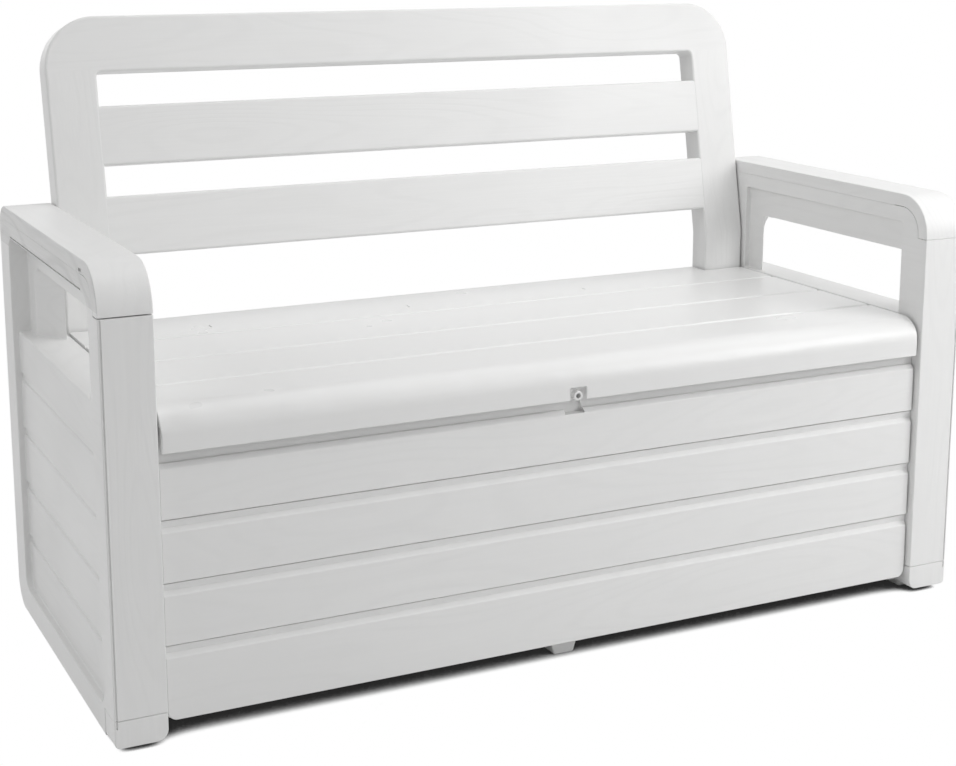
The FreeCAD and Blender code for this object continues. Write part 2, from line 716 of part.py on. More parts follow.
def slat_spans():
    """Height spans of the upper and the lower slat above the kink."""
    upper_top = BACK_LENGTH - RAIL_HEIGHT - UPPER_SLAT_GAP
    lower_top = upper_top - SLAT_HEIGHT - LOWER_SLAT_GAP
    return [(top - SLAT_HEIGHT, top) for top in (upper_top, lower_top)]


def bolt_places():
    y = (BACK_SETBACK + POST_REAR) / 2
    return [(y, POST_FOOT + BOLT_RISE + BOLT_PITCH * i) for i in range(BOLT_COUNT)]


def tenon(v_span, grow):
    """Stub at the right end of a slat that enters the post."""
    middle = (v_span[0] + v_span[1]) / 2
    half = TENON_HEIGHT / 2 + grow
    depth = SLAT_THICKNESS / 2
    x_span = (POST_INNER - SLAT_WALL, POST_INNER + TENON_LENGTH)
    w_span = (depth - TENON_THICKNESS / 2 - grow, depth + TENON_THICKNESS / 2 + grow)
    return back_board(x_span, (middle - half, middle + half), w_span)


def lower_post():
    """Upright foot of a post, bolted to the side frame inside the storage space."""
    z_span = (POST_FOOT, KINK_Z + KINK_LAP)
    post = box((POST_INNER, POST_OUTER), (BACK_SETBACK, POST_REAR), z_span)
    return post.makeChamfer(BACK_EDGE_BREAK, upright_edges(post))


def lower_post_hollow():
    return box(
        (POST_INNER + BACK_WALL, POST_OUTER - BACK_WALL),
        (BACK_SETBACK + BACK_WALL, POST_REAR - BACK_WALL),
        (POST_FOOT - BACK_WALL, KINK_Z + KINK_LAP),
    )


def backrest_frame():
    arch = back_arch(0, (0, BACK_THICKNESS))
    arch = arch.makeChamfer(BACK_EDGE_BREAK, arch_edges(arch, (BACK_SETBACK, POST_REAR)))
    frame = bent(arch, both_ends(lower_post()))
    hollow = back_arch(BACK_WALL, (BACK_WALL, BACK_THICKNESS - BACK_WALL))
    cuts = [bent(hollow, both_ends(lower_post_hollow()))]
    for v_span in slat_spans():
        cuts += both_ends(leant(tenon(v_span, FIT)))
    for y, z in bolt_places():
        cuts += both_ends(rod_x(BOLT_RADIUS + FIT, (POST_INNER - BACK_WALL, INNER_FACE), y, z))
    return frame.cut(cuts).removeSplitter()


def back_slat(v_span):
    """Hollow board between the posts, flush with their fronts, with a tenon at each end."""
    end = POST_INNER - FIT
    profile = rect((BACK_SETBACK, BACK_SETBACK + SLAT_THICKNESS), (KINK_Z + v_span[0], KINK_Z + v_span[1]))
    board = prism_x(profile, [SLAT_ROUND] * 4, (-end, end))
    board = board.fuse(both_ends(tenon(v_span, 0)))
    inside_v = (v_span[0] + SLAT_WALL, v_span[1] - SLAT_WALL)
    inside_w = (SLAT_WALL, SLAT_THICKNESS - SLAT_WALL)
    hollow = back_board((-end + SLAT_WALL, end - SLAT_WALL), inside_v, inside_w)
    middle = (v_span[0] + v_span[1]) / 2
    half = TENON_HEIGHT / 2 - SLAT_WALL
    depth = SLAT_THICKNESS / 2
    half_depth = TENON_THICKNESS / 2 - SLAT_WALL
    bore = back_board(
        (-HALF_WIDTH, HALF_WIDTH),
        (middle - half, middle + half),
        (depth - half_depth, depth + half_depth),
    )
    return leant(board.cut([hollow, bore]).removeSplitter())


def backrest_bolts():
    """Bolts through the lower posts into the side frames, both ends, as one group."""
    bolts = []
    for y, z in bolt_places():
        shank = rod_x(BOLT_RADIUS, (POST_INNER - BOLT_HEAD, INNER_FACE + BOLT_REACH), y, z)
        head = rod_x(BOLT_HEAD_RADIUS, (POST_INNER - BOLT_HEAD, POST_INNER), y, z)
        bolts += both_ends(shank.fuse(head).removeSplitter())
    return Part.makeCompound(bolts)


# Assembly

def build():
    right_body = side_body()
    nodes = {}
    for name, piece in (("side_frame", side_frame), ("arm_cap", arm_cap), ("foot_shoe", foot_shoe)):
        right = piece(right_body)
        nodes["right_" + name] = right
        nodes["left_" + name] = mirrored(right)
    pad_x = (INNER_FACE + HALF_WIDTH) / 2
    pad_spans = {
        "front": (PAD_SETBACK, PAD_SETBACK + PAD_LENGTH),
        "rear": (SIDE_DEPTH - REAR_BOTTOM_ROUND - PAD_LENGTH, SIDE_DEPTH - REAR_BOTTOM_ROUND),
    }
    for place, y_span in pad_spans.items():
        nodes["right_" + place + "_pad"] = foot_pad(pad_x, y_span)
        nodes["left_" + place + "_pad"] = foot_pad(-pad_x, y_span)
    nodes["front_panel"] = front_panel()
    nodes["rear_panel"] = rear_panel()
    nodes["floor_panel"] = floor_panel()
    nodes["front_centre_foot"] = centre_foot((PAD_SETBACK, PAD_SETBACK + CENTRE_FOOT_LENGTH))
    rear_foot_end = REAR_PANEL_INNER - PAD_SETBACK
    nodes["rear_centre_foot"] = centre_foot((rear_foot_end - CENTRE_FOOT_LENGTH, rear_foot_end))
    nodes["seat_lid"] = seat_lid()
    front_groove, middle_groove, rear_groove = lid_groove_places()
    nodes["front_lid_bar"] = lid_bar((front_groove + middle_groove) / 2)
    nodes["rear_lid_bar"] = lid_bar((middle_groove + rear_groove) / 2)
    nodes["right_hinge_pin"] = hinge_pin()
    nodes["left_hinge_pin"] = mirrored(hinge_pin())
    nodes["backrest_frame"] = backrest_frame()
    upper, lower = slat_spans()
    nodes["upper_back_slat"] = back_slat(upper)
    nodes["lower_back_slat"] = back_slat(lower)
    nodes["backrest_bolts"] = backrest_bolts()
    return nodes


def main():
    nodes = build()
    whole = FreeCAD.BoundBox()
    for shape in nodes.values():
        whole.add(shape.optimalBoundingBox(False, False))
    to_centre = vec(0, -(whole.YMin + whole.YMax) / 2, 0)
    os.makedirs("parts", exist_ok=True)
    for name, shape in nodes.items():
        shape.translated(to_centre).exportStep("parts/" + name + ".step")
        print(name, len(shape.Solids), "solid(s), valid", shape.isValid(), round(shape.Volume), "mm3")
    print("box", whole.XLength, whole.YLength, whole.ZLength, "moved", to_centre.y)


main()
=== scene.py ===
import bpy
import math
from mathutils import Matrix, Vector


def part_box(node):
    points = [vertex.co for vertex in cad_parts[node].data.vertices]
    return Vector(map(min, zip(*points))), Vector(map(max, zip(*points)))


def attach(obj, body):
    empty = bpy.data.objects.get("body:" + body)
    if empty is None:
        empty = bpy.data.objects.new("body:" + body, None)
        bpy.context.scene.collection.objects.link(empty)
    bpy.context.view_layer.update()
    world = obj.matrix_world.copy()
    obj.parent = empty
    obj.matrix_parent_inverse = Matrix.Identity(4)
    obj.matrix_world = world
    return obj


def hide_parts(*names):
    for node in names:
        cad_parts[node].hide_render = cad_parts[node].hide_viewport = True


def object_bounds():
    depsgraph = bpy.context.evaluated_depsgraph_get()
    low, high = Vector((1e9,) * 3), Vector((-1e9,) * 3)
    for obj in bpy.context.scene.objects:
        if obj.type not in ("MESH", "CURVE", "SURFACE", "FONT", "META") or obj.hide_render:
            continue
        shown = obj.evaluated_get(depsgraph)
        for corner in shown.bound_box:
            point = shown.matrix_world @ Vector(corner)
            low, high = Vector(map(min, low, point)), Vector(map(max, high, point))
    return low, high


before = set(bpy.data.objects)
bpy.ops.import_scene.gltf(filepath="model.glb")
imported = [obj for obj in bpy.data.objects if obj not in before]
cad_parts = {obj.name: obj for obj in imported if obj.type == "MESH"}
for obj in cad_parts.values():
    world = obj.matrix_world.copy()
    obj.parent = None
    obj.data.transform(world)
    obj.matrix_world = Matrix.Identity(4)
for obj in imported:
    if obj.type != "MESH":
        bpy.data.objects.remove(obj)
cad_low, cad_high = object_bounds()

# All lengths are in metres and all angles in degrees.
# Places along the depth are given from the front face of the posts.
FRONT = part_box("right_side_frame")[0].y
HALF_WIDTH = cad_high.x
CLOSE = 0.00002

# How far a cutting tool reaches past a piece, how far two welded shapes run into each other,
# the small step that keeps two faces out of one plane, and two limits for the largest tools
REACH = 0.01
OVERLAP = 0.002
APART = 0.0005
PAST_BENCH = (-0.7, 0.7)
BELOW_LID = 0.3

# Camera, from the photograph's viewing angle
CAMERA_PLACE = (-1.1574, -2.3496, 1.0205)
CAMERA_YAW = 26.026
CAMERA_PITCH = 11.465
PHOTO_WIDTH = 956
FOCAL_PIXELS = 1767.2
LENS_SHIFT = -0.1004
SENSOR = 36.0

# Side frames
SIDE_THICKNESS = 0.0695
SIDE_DEPTH = 0.570
SIDE_BOTTOM = 0.008
ARM_TOP = 0.625
ARM_FRONT_ROUND = 0.058
ARM_REAR_ROUND = 0.036
FOOT_FRONT_ROUND = 0.014
FOOT_REAR_ROUND = 0.042
FRONT_POST = 0.048
RECESS_REAR = 0.514
RECESS_BOTTOM = 0.047
RIM_UNDERSIDE = 0.582
SILL = 0.441
SILL_ROUND = 0.0025
PLANK_INSET = 0.0095
WEB_INSET = 0.027
INNER_WEB_INSET = 0.0093
RECESS_ROUND = 0.022
INNER_RECESS_ROUND = 0.004
INNER_RECESS_REAR = 0.472
WINDOW_FRONT = 0.057
WINDOW_INNER_REAR = 0.431
WINDOW_OUTER_REAR = 0.478
WINDOW_TOP = 0.536
WINDOW_OUTER_TOP = 0.545
WINDOW_ROUND = 0.030
SIDE_CHANNEL_DEPTH = 0.0032
SIDE_EDGE = 0.0018
SIDE_WALL = 0.0095
STORE_FRONT = FRONT_POST + 0.005
STORE_REAR = 0.452
STORE_FLOOR = 0.060
STORE_ROUND = 0.014
PIN_SEAT = 0.00502
PIN_SEAT_DEPTH = 0.024
RIM_GRAIN_BOTTOM = 0.570
RIM_CUT_DEPTH = 0.008
RIM_LINE_PLACE = (0.078, 0.498)
RIM_LINE_RISE = (0.0021, 0.0043)
POST_LINE_INSET = (0.0044, 0.0022)
POST_LINE_DEPTH = 0.002
POST_LINE_BOTTOM = 0.035
FOOT_INNER_ROUND = 0.015
FOOT_OUTER_ROUND = 0.007
CAP_SKIRT = 0.020
CAP_FRONT_SEAM = 0.562
CAP_REAR_SEAM = 0.585
CAP_EDGE = 0.0012
CAP_SLOT = 0.077
CAP_SLOT_HALF = 0.007
CAP_SLOT_HEIGHT = (0.6075, 0.6122)
SHOE_TOP = 0.046
HAIRLINE = 0.00025
SEAM = 0.0009
FRONT_SEAM = 0.0005
LEFT_FRONT_SEAM = 0.0018
INNER_FACE = HALF_WIDTH - SIDE_THICKNESS
SIDE_ROOM = (INNER_FACE - 2 * REACH, HALF_WIDTH + 2 * REACH)
PAST_SIDE = (INNER_FACE - 3 * REACH, HALF_WIDTH + 3 * REACH)
PAD_ROUND = 0.004
PAD_EDGE = 0.0014

# Planked panels
PANEL_END = INNER_FACE - 0.0003
PANEL_BOTTOM = 0.0275
PLANK_FRONT = 0.011
PLANK_DEPTH = 0.006
CHANNEL_TOP_DEPTH = 0.002
PANEL_WALL = 0.005
PLANK_TOP = 0.3685
PLANK_PITCH = 0.0834
PLANK_CHANNEL = 0.011
PLANK_COUNT = 4
PLANK_LEDGE = 0.0065
PLANK_END_GAP = 0.0024
SHADOW_LINE = 0.002
SHEET_FRONT = PLANK_FRONT + PLANK_DEPTH
SHEET_BACK = SHEET_FRONT + PANEL_WALL
PANEL_CORNER_ROUND = 0.013
PANEL_EDGE = 0.001
PLANK_EDGE = 0.0012
HOLLOW_END = 0.014
FRONT_SETBACK = 0.004
REAR_SETBACK = 0.002
REAR_PANEL_PLACE = 0.5227
REAR_PANEL_DROP = 0.009
SCOOP_HALF = 0.0115
SCOOP_HEIGHT = (0.3625, 0.381)
SCOOP_DEPTH = 0.004
SCOOP_FLARE = 1.39
BACKING_HALF = 0.019
BACKING_HEIGHT = (0.3525, 0.3853)
PADLOCK_HOLE = 0.0045
TRAY_WALL = 0.004
FOOT_TAPER = 0.596
FOOT_EDGE = 0.002

# Seat lid
LID_TOP = 0.441
LID_UNDER = 0.416
SKIRT_BOTTOM = 0.384
LID_FRONT = 0.003
LID_REAR = 0.5167
LID_END = INNER_FACE - 0.0045
LID_END_ROUND = 0.003
LID_WALL = 0.005
LID_NOSE = 0.035
LID_MARKS = (-0.390, -0.068, 0.246)
NOSE_STEPS = 110
NOSE_WAVE = 0.0024
WAVE_LENGTH = 0.035
WAVE_BOTTOM = 0.012
LID_GROOVES = (0.123, 0.2521, 0.3812)
LID_GROOVE_RADIUS = 0.006
LID_GROOVE_DEPTH = 0.0025
LID_RIBS = 8
RIB = 0.003
HINGE_PLACE = (0.455, 0.430)
PIN_BOSS = 0.0095
PIN_BORE = 0.00505
LUG_HEIGHT = 0.390
LUG_RADIUS = 0.0068
LUG_BORE = 0.0036
POCKET_WIDTH = 0.026
POCKET_HEIGHT = 0.018
POCKET_DEPTH = 0.009
POCKET_WALL = 0.004
NOTCH_SIDE_GAP = 0.003
NOTCH_FRONT_GAP = 0.0036
BOSS_LENGTH = 0.030
BORE_LENGTH = 0.026
MARK_HALF = 0.0011
MARK_PLACE = (0.421, 0.435)
MARK_DEPTH = 0.003
LID_REAR_ROUND = 0.004
LID_EDGE = 0.0012
TUBE_WALL = 0.0015
TUBE_EDGE = 0.0005

# Backrest
BACK_PLACE = 0.4804
BACK_LEAN = math.radians(10.9)
KINK = 0.505
BACK_DEPTH = 0.042
POST_OUTER = INNER_FACE - 0.0018
POST_INNER = INNER_FACE - 0.0766
BACK_LENGTH = 0.39716
RAIL_HEIGHT = 0.0825
RAIL_ROUND = 0.078
OPENING_ROUND = 0.008
SLAT_HEIGHT = 0.088
SLAT_DEPTH = 0.030
SLAT_TOPS = (BACK_LENGTH - RAIL_HEIGHT - 0.0503, BACK_LENGTH - RAIL_HEIGHT - 0.184)
SLAT_EDGE = 0.004
SLAT_TENON = 0.006
POST_FOOT = 0.250
BACK_EDGE = 0.004

# Finish of the white resin
RESIN_PALE = (0.83, 0.83, 0.825, 1)
RESIN_DEEP = (0.79, 0.79, 0.785, 1)
RESIN_STREAK = (0.60, 0.60, 0.595, 1)
RESIN_ROUGHNESS = (0.36, 0.50)
SEAT_ROUGHNESS = (0.27, 0.38)

# Finish of the pads and of the steel
GLIDE_TONES = ((0.62, 0.62, 0.61, 1), (0.76, 0.76, 0.75, 1))
GLIDE_ROUGHNESS = (0.55, 0.75)
STEEL_TONES = ((0.50, 0.51, 0.52, 1), (0.66, 0.66, 0.67, 1))
STEEL_ROUGHNESS = (0.28, 0.48)

# Soft light from all round, and the lamps: place, target, size and watts
WORLD_STRENGTH = 0.425
LAMPS = {
    "near": ((1.5, -1.5, 1.3), (0.4, 0.0, 0.4), 1.0, 13.5),
    "top": ((1.2, -0.4, 3.0), (0.6, 0.0, 0.4), 2.8, 33.0),
    "key": ((1.7, -2.6, 2.1), (0.4, -0.1, 0.4), 2.4, 8.0),
    "left": ((-3.4, -0.2, 2.5), (0.0, 0.0, 0.4), 1.8, 18.5),
    "rear": ((-1.2, 3.2, 2.0), (0.0, 0.2, 0.4), 2.4, 9.0),
}


# Materials

def nodes_of(material):
    """An empty node tree with its output."""
    material.use_nodes = True
    tree = material.node_tree
    tree.nodes.clear()
    return tree, tree.nodes.new("ShaderNodeOutputMaterial")


def add_node(tree, kind, values=None, **settings):
    """A node with its settings, its constant inputs and its linked inputs."""
    node = tree.nodes.new(kind)
    for name, value in settings.items():
        setattr(node, name, value)
    for key, value in (values or {}).items():
        if isinstance(value, bpy.types.NodeSocket):
            tree.links.new(value, node.inputs[key])
        else:
            node.inputs[key].default_value = value
    return node


def stretched(tree, place, grain, along, across):
    """Coordinates drawn out along the grain's axis."""
    scale = [along if axis == grain else across for axis in "XYZ"]
    return add_node(tree, "ShaderNodeMapping", {"Vector": place, "Scale": scale}).outputs["Vector"]


def new_material(name):
    """A material with an empty node tree, its output, and the coordinates of its object."""
    material = bpy.data.materials.new(name)
    tree, output = nodes_of(material)
    return material, tree, output, add_node(tree, "ShaderNodeTexCoord").outputs["Object"]


def noise(tree, place, scale, detail, roughness=0.5):
    """A soft random pattern."""
    values = {"Vector": place, "Scale": scale, "Detail": detail, "Roughness": roughness}
    return add_node(tree, "ShaderNodeTexNoise", values).outputs["Fac"]


def blend(tree, share, tones):
    """A colour between two tones."""
    mix = add_node(tree, "ShaderNodeMix", {0: share, 6: tones[0], 7: tones[1]}, data_type="RGBA")
    return mix.outputs[2]


def spread(tree, pattern, span):
    """Draws the middle part of a pattern out to the given span."""
    values = {0: pattern, 1: 0.3, 2: 0.7, 3: span[0], 4: span[1]}
    return add_node(tree, "ShaderNodeMapRange", values).outputs[0]


def emboss(tree, height, strength, distance, under=None):
    """A bump, which may lie on top of another one."""
    values = {"Height": height, "Strength": strength, "Distance": distance}
    if under is not None:
        values["Normal"] = under
    return add_node(tree, "ShaderNodeBump", values).outputs["Normal"]


def add_surface(tree, output, colour, roughness, normal, metallic=0.0):
    """Joins the shader to the material's output."""
    values = {"Base Color": colour, "Metallic": metallic, "Roughness": roughness, "Normal": normal}
    shader = add_node(tree, "ShaderNodeBsdfPrincipled", values)
    tree.links.new(shader.outputs[0], output.inputs["Surface"])


def grain_height(tree, place, grain, fineness, figured):
    """Height of an embossed wood grain: fine fibres, and the flame figure of a sawn board."""
    fibres = noise(tree, stretched(tree, place, grain, 7.0, fineness), 1.0, 2.0, 0.55)
    if not figured:
        return fibres
    figure = noise(tree, stretched(tree, place, grain, 1.7, 10.0), 1.0, 1.2, 0.4)
    rings = add_node(tree, "ShaderNodeMath", {0: figure, 1: 95.0}, operation="MULTIPLY")
    wave = add_node(tree, "ShaderNodeMath", {0: rings.outputs[0]}, operation="SINE")
    flame = add_node(tree, "ShaderNodeMapRange", {0: wave.outputs[0], 1: 0.2, 2: 1.0, 3: 0.0, 4: 0.5})
    both = add_node(tree, "ShaderNodeMath", {0: fibres, 1: flame.outputs[0]}, operation="SUBTRACT")
    return both.outputs[0]


def moulded_resin(
    name, grain, strength, fineness, deep_tone=RESIN_DEEP, roughness_span=RESIN_ROUGHNESS, figured=True
):
    """White resin with an embossed grain along one axis, over a finely speckled skin."""
    material, tree, output, place = new_material(name)
    height = grain_height(tree, place, grain, fineness, figured)
    clouds = noise(tree, place, 6.0, 3.0)
    tone = add_node(tree, "ShaderNodeMath", {0: height, 1: clouds, 2: 0.25}, operation="MULTIPLY_ADD")
    colour = blend(tree, tone.outputs[0], (deep_tone, RESIN_PALE))
    skin = emboss(tree, noise(tree, place, 900.0, 2.0), 0.02, 0.0003)
    normal = emboss(tree, height, strength, 0.0006, skin)
    add_surface(tree, output, colour, spread(tree, clouds, roughness_span), normal)
    return material


def glide_plastic():
    """Matte, speckled plastic of the pads."""
    material, tree, output, place = new_material("glide_plastic")
    speckle = noise(tree, place, 600.0, 3.0)
    colour = blend(tree, noise(tree, place, 60.0, 5.0), GLIDE_TONES)
    normal = emboss(tree, speckle, 0.3, 0.0003)
    add_surface(tree, output, colour, spread(tree, speckle, GLIDE_ROUGHNESS), normal)
    return material


def zinc_steel():
    """Zinc plated steel with drawn lines."""
    material, tree, output, place = new_material("zinc_steel")
    drawn = noise(tree, stretched(tree, place, "X", 4.0, 700.0), 1.0, 3.0)
    colour = blend(tree, noise(tree, place, 40.0, 4.0), STEEL_TONES)
    normal = emboss(tree, drawn, 0.15, 0.0002)
    add_surface(tree, output, colour, spread(tree, drawn, STEEL_ROUGHNESS), normal, metallic=1.0)
    return material


# Modelling

def select_only(piece):
    """Makes one object the only one selected, and the active one."""
    bpy.ops.object.select_all(action="DESELECT")
    piece.select_set(True)
    bpy.context.view_layer.objects.active = piece


def deep(place):
    """Place along the depth, measured from the front face of the posts."""
    return FRONT + place


def spans_of(node):
    """The box of a node of the frame, as a span on each axis. The depth is measured from the front."""
    low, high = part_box(node)
    return (low.x, high.x), (low.y - FRONT, high.y - FRONT), (low.z, high.z)


def within(span, wall):
    """A span made shorter by a wall at each end."""
    return span[0] + wall, span[1] - wall


def either_side(end, inner, outer):
    """A span along the bench at its right end (1) or its left end (-1)."""
    return sorted((end * inner, end * outer))


def block(name, x_span, y_span, z_span):
    """A block between two values on each axis. The depth is measured from the front."""
    spans = (x_span, (deep(y_span[0]), deep(y_span[1])), z_span)
    bpy.ops.object.select_all(action="DESELECT")
    bpy.ops.mesh.primitive_cube_add(
        size=1.0,
        location=[(low + high) / 2 for low, high in spans],
        scale=[high - low for low, high in spans],
    )
    bpy.ops.object.transform_apply(location=True, rotation=True, scale=True)
    piece = bpy.context.active_object
    piece.name = name
    piece.data.name = name
    return piece


def bar_along(name, axis, radius, span, across, sides=48):
    """A bar along X or Y with a regular section. across gives its other two places."""
    length = span[1] - span[0]
    middle = (span[0] + span[1]) / 2
    if axis == "X":
        location = (middle, deep(across[0]), across[1])
        turn = (0, math.pi / 2, 0)
    else:
        location = (across[0], deep(middle), across[1])
        turn = (math.pi / 2, 0, 0)
    bpy.ops.object.select_all(action="DESELECT")
    bpy.ops.mesh.primitive_cylinder_add(
        vertices=sides, radius=radius, depth=length, location=location, rotation=turn
    )
    bpy.ops.object.transform_apply(location=True, rotation=True, scale=True)
    piece = bpy.context.active_object
    piece.name = name
    return piece


def pick_edges(piece, x=None, y=None, z=None):
    """Selects, in edit mode, the edges that lie at the given places."""
    wanted = (x, None if y is None else deep(y), z)
    select_only(piece)
    bpy.ops.object.mode_set(mode="EDIT")
    bpy.ops.mesh.select_mode(type="EDGE")
    bpy.ops.mesh.select_all(action="DESELECT")
    bpy.ops.object.mode_set(mode="OBJECT")
    points = piece.data.vertices
    for edge in piece.data.edges:
        ends = [points[i].co for i in edge.vertices]
        misses = [
            abs(end[axis] - value) for end in ends for axis, value in enumerate(wanted) if value is not None
        ]
        edge.select = max(misses) < CLOSE
    bpy.ops.object.mode_set(mode="EDIT")


def round_edges(piece, radius, steps, **places):
    """Rounds the edges at the given places."""
    pick_edges(piece, **places)
    bpy.ops.mesh.bevel(offset=radius, segments=steps, affect="EDGES", clamp_overlap=False)
    bpy.ops.object.mode_set(mode="OBJECT")


def move_edges(piece, way, **places):
    """Moves the edges at the given places, which slants the faces beside them."""
    pick_edges(piece, **places)
    bpy.ops.transform.translate(value=way)
    bpy.ops.object.mode_set(mode="OBJECT")


def widen_edges(piece, share, **places):
    """Makes the edges at the given places wider or narrower along the bench, about their middle."""
    pick_edges(piece, **places)
    bpy.ops.transform.resize(value=(share, 1.0, 1.0))
    bpy.ops.object.mode_set(mode="OBJECT")


def score(piece, axis, *places):
    """Splits the faces of a piece along flat planes, so that no face has a hole in it later."""
    normal = [float(letter == axis) for letter in "XYZ"]
    select_only(piece)
    bpy.ops.object.mode_set(mode="EDIT")
    for place in places:
        at = deep(place) if axis == "Y" else place
        bpy.ops.mesh.select_all(action="SELECT")
        bpy.ops.mesh.bisect(plane_co=[at * part for part in normal], plane_no=normal)
    bpy.ops.object.mode_set(mode="OBJECT")


def apply_modifier(piece, kind, **settings):
    """Adds a modifier with its settings, and applies it."""
    modifier = piece.modifiers.new(kind.lower(), kind)
    for name, value in settings.items():
        setattr(modifier, name, value)
    select_only(piece)
    bpy.ops.object.modifier_apply(modifier=modifier.name)


def remove(piece):
    """Deletes a tool or a pattern piece that has done its work."""
    select_only(piece)
    bpy.ops.object.delete()


def cut(piece, *tools):
    """Takes the tools' shapes out of a piece."""
    for tool in tools:
        apply_modifier(piece, "BOOLEAN", operation="DIFFERENCE", object=tool, solver="EXACT")
        remove(tool)
    return piece


def weld(piece, *others):
    """Makes one closed moulding of several."""
    for other in others:
        apply_modifier(piece, "BOOLEAN", operation="UNION", object=other, solver="EXACT")
        remove(other)
    return piece


def copy_of(piece, name):
    """A copy with its own mesh."""
    select_only(piece)
    bpy.ops.object.duplicate()
    twin = bpy.context.active_object
    twin.name = name
    twin.data.name = name
    return twin


def mirror_copy(piece, name, axis, centre=(0, 0, 0)):
    """The same piece for the other side, mirrored along one axis."""
    twin = copy_of(piece, name)
    bpy.ops.object.mode_set(mode="EDIT")
    bpy.ops.mesh.select_all(action="SELECT")
    bpy.ops.transform.mirror(
        constraint_axis=[letter == axis for letter in "XYZ"], orient_type="GLOBAL", center_override=centre
    )
    bpy.ops.mesh.normals_make_consistent(inside=False)
    bpy.ops.object.mode_set(mode="OBJECT")
    return twin


def soften(piece, edge, steps=3, fine_cuts=()):
    """Rounds the sharp edges, as a mould does. Fine cuts are made first and keep their sharp edges."""
    select_only(piece)
    bpy.ops.object.mode_set(mode="EDIT")
    bpy.ops.mesh.select_mode(type="EDGE")
    bpy.ops.mesh.select_all(action="SELECT")
    bpy.ops.mesh.remove_doubles(threshold=CLOSE)
    bpy.ops.mesh.select_all(action="DESELECT")
    bpy.ops.mesh.edges_select_sharp(sharpness=math.radians(30))
    bpy.ops.transform.edge_bevelweight(value=1.0)
    bpy.ops.object.mode_set(mode="OBJECT")
    cut(piece, *fine_cuts)
    apply_modifier(
        piece,
        "BEVEL",
        width=edge,
        segments=steps,
        limit_method="WEIGHT",
        use_clamp_overlap=False,
        miter_outer="MITER_ARC",
    )


def hand_in(piece, node, body, slot, *materials):
    """Shades a finished piece and puts it in the place of a node of the frame."""
    select_only(piece)
    bpy.ops.object.shade_smooth_by_angle(angle=math.radians(36))
    apply_modifier(piece, "WEIGHTED_NORMAL", keep_sharp=True)
    piece.data.materials.clear()
    for material in materials:
        piece.data.materials.append(material)
    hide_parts(node)
    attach(piece, body)


# Side frames, arm caps and foot shoes, drawn for the right end

def rounded_slab(name, inset, x_span):
    """The outline of a side, moved in by the inset and drawn across."""
    y_span = (inset, SIDE_DEPTH - inset)
    z_span = (SIDE_BOTTOM + inset, ARM_TOP - inset)
    slab = block(name, x_span, y_span, z_span)
    corners = (
        (ARM_FRONT_ROUND, y_span[0], z_span[1]),
        (ARM_REAR_ROUND, y_span[1], z_span[1]),
        (FOOT_REAR_ROUND, y_span[1], z_span[0]),
        (FOOT_FRONT_ROUND, y_span[0], z_span[0]),
    )
    for radius, y, z in corners:
        if radius > inset:
            round_edges(slab, radius - inset, 14, y=y, z=z)
    return slab


def recess(x_span, y_span, z_span, radius, rounded):
    """A tool for a recess in the side, rounded at the given corners."""
    tool = block("recess", x_span, y_span, z_span)
    for y, z in rounded:
        round_edges(tool, radius, 10, y=y, z=z)
    return tool


def corners_of(y_span, *heights):
    """Places of the corners at both ends of a depth span, at each height."""
    return [(y, z) for z in heights for y in y_span]


def side_moulding():
    """The whole side before its cap and shoe are parted."""
    beyond = HALF_WIDTH + REACH
    before = INNER_FACE - REACH
    face = HALF_WIDTH - PLANK_INSET
    y_span = (FRONT_POST, RECESS_REAR)
    side = rounded_slab("side", 0.0, (INNER_FACE, HALF_WIDTH))
    score(side, "Y", SIDE_DEPTH / 2, HINGE_PLACE[0])
    score(side, "Z", RIM_GRAIN_BOTTOM)
    cut(side, side_openings(before, beyond, face))
    store_y = (STORE_FRONT, STORE_REAR)
    store_z = (STORE_FLOOR, SKIRT_BOTTOM)
    store_corners = corners_of(store_y, *store_z)
    cut(side, recess((before, face - SIDE_WALL), store_y, store_z, STORE_ROUND, store_corners))
    for i in range(PLANK_COUNT):
        low = PLANK_TOP - PLANK_PITCH * i
        channel_x = (face - SIDE_CHANNEL_DEPTH, beyond)
        cut(side, block("channel", channel_x, y_span, (low, low + PLANK_CHANNEL)))
        round_edges(side, SIDE_CHANNEL_DEPTH * 0.9, 6, x=face, z=low)
    round_edges(side, SILL_ROUND, 6, x=face, z=SILL)
    cut(side, bar_along("pin_seat", "X", PIN_SEAT, (before, INNER_FACE + PIN_SEAT_DEPTH), HINGE_PLACE))
    return side


def make_shoe():
    """The lower end of a front post, rounded at its bottom corners."""
    across = (INNER_FACE, HALF_WIDTH)
    shoe = block("right_foot_boot", across, (0.0, FRONT_POST - SEAM), (SIDE_BOTTOM, SHOE_TOP - SEAM))
    round_edges(shoe, FOOT_INNER_ROUND, 12, x=INNER_FACE, z=SIDE_BOTTOM)
    round_edges(shoe, FOOT_OUTER_ROUND, 8, x=HALF_WIDTH, z=SIDE_BOTTOM)
    soften(shoe, SIDE_EDGE)
    return cut(shoe, post_line(SHOE_TOP + REACH))


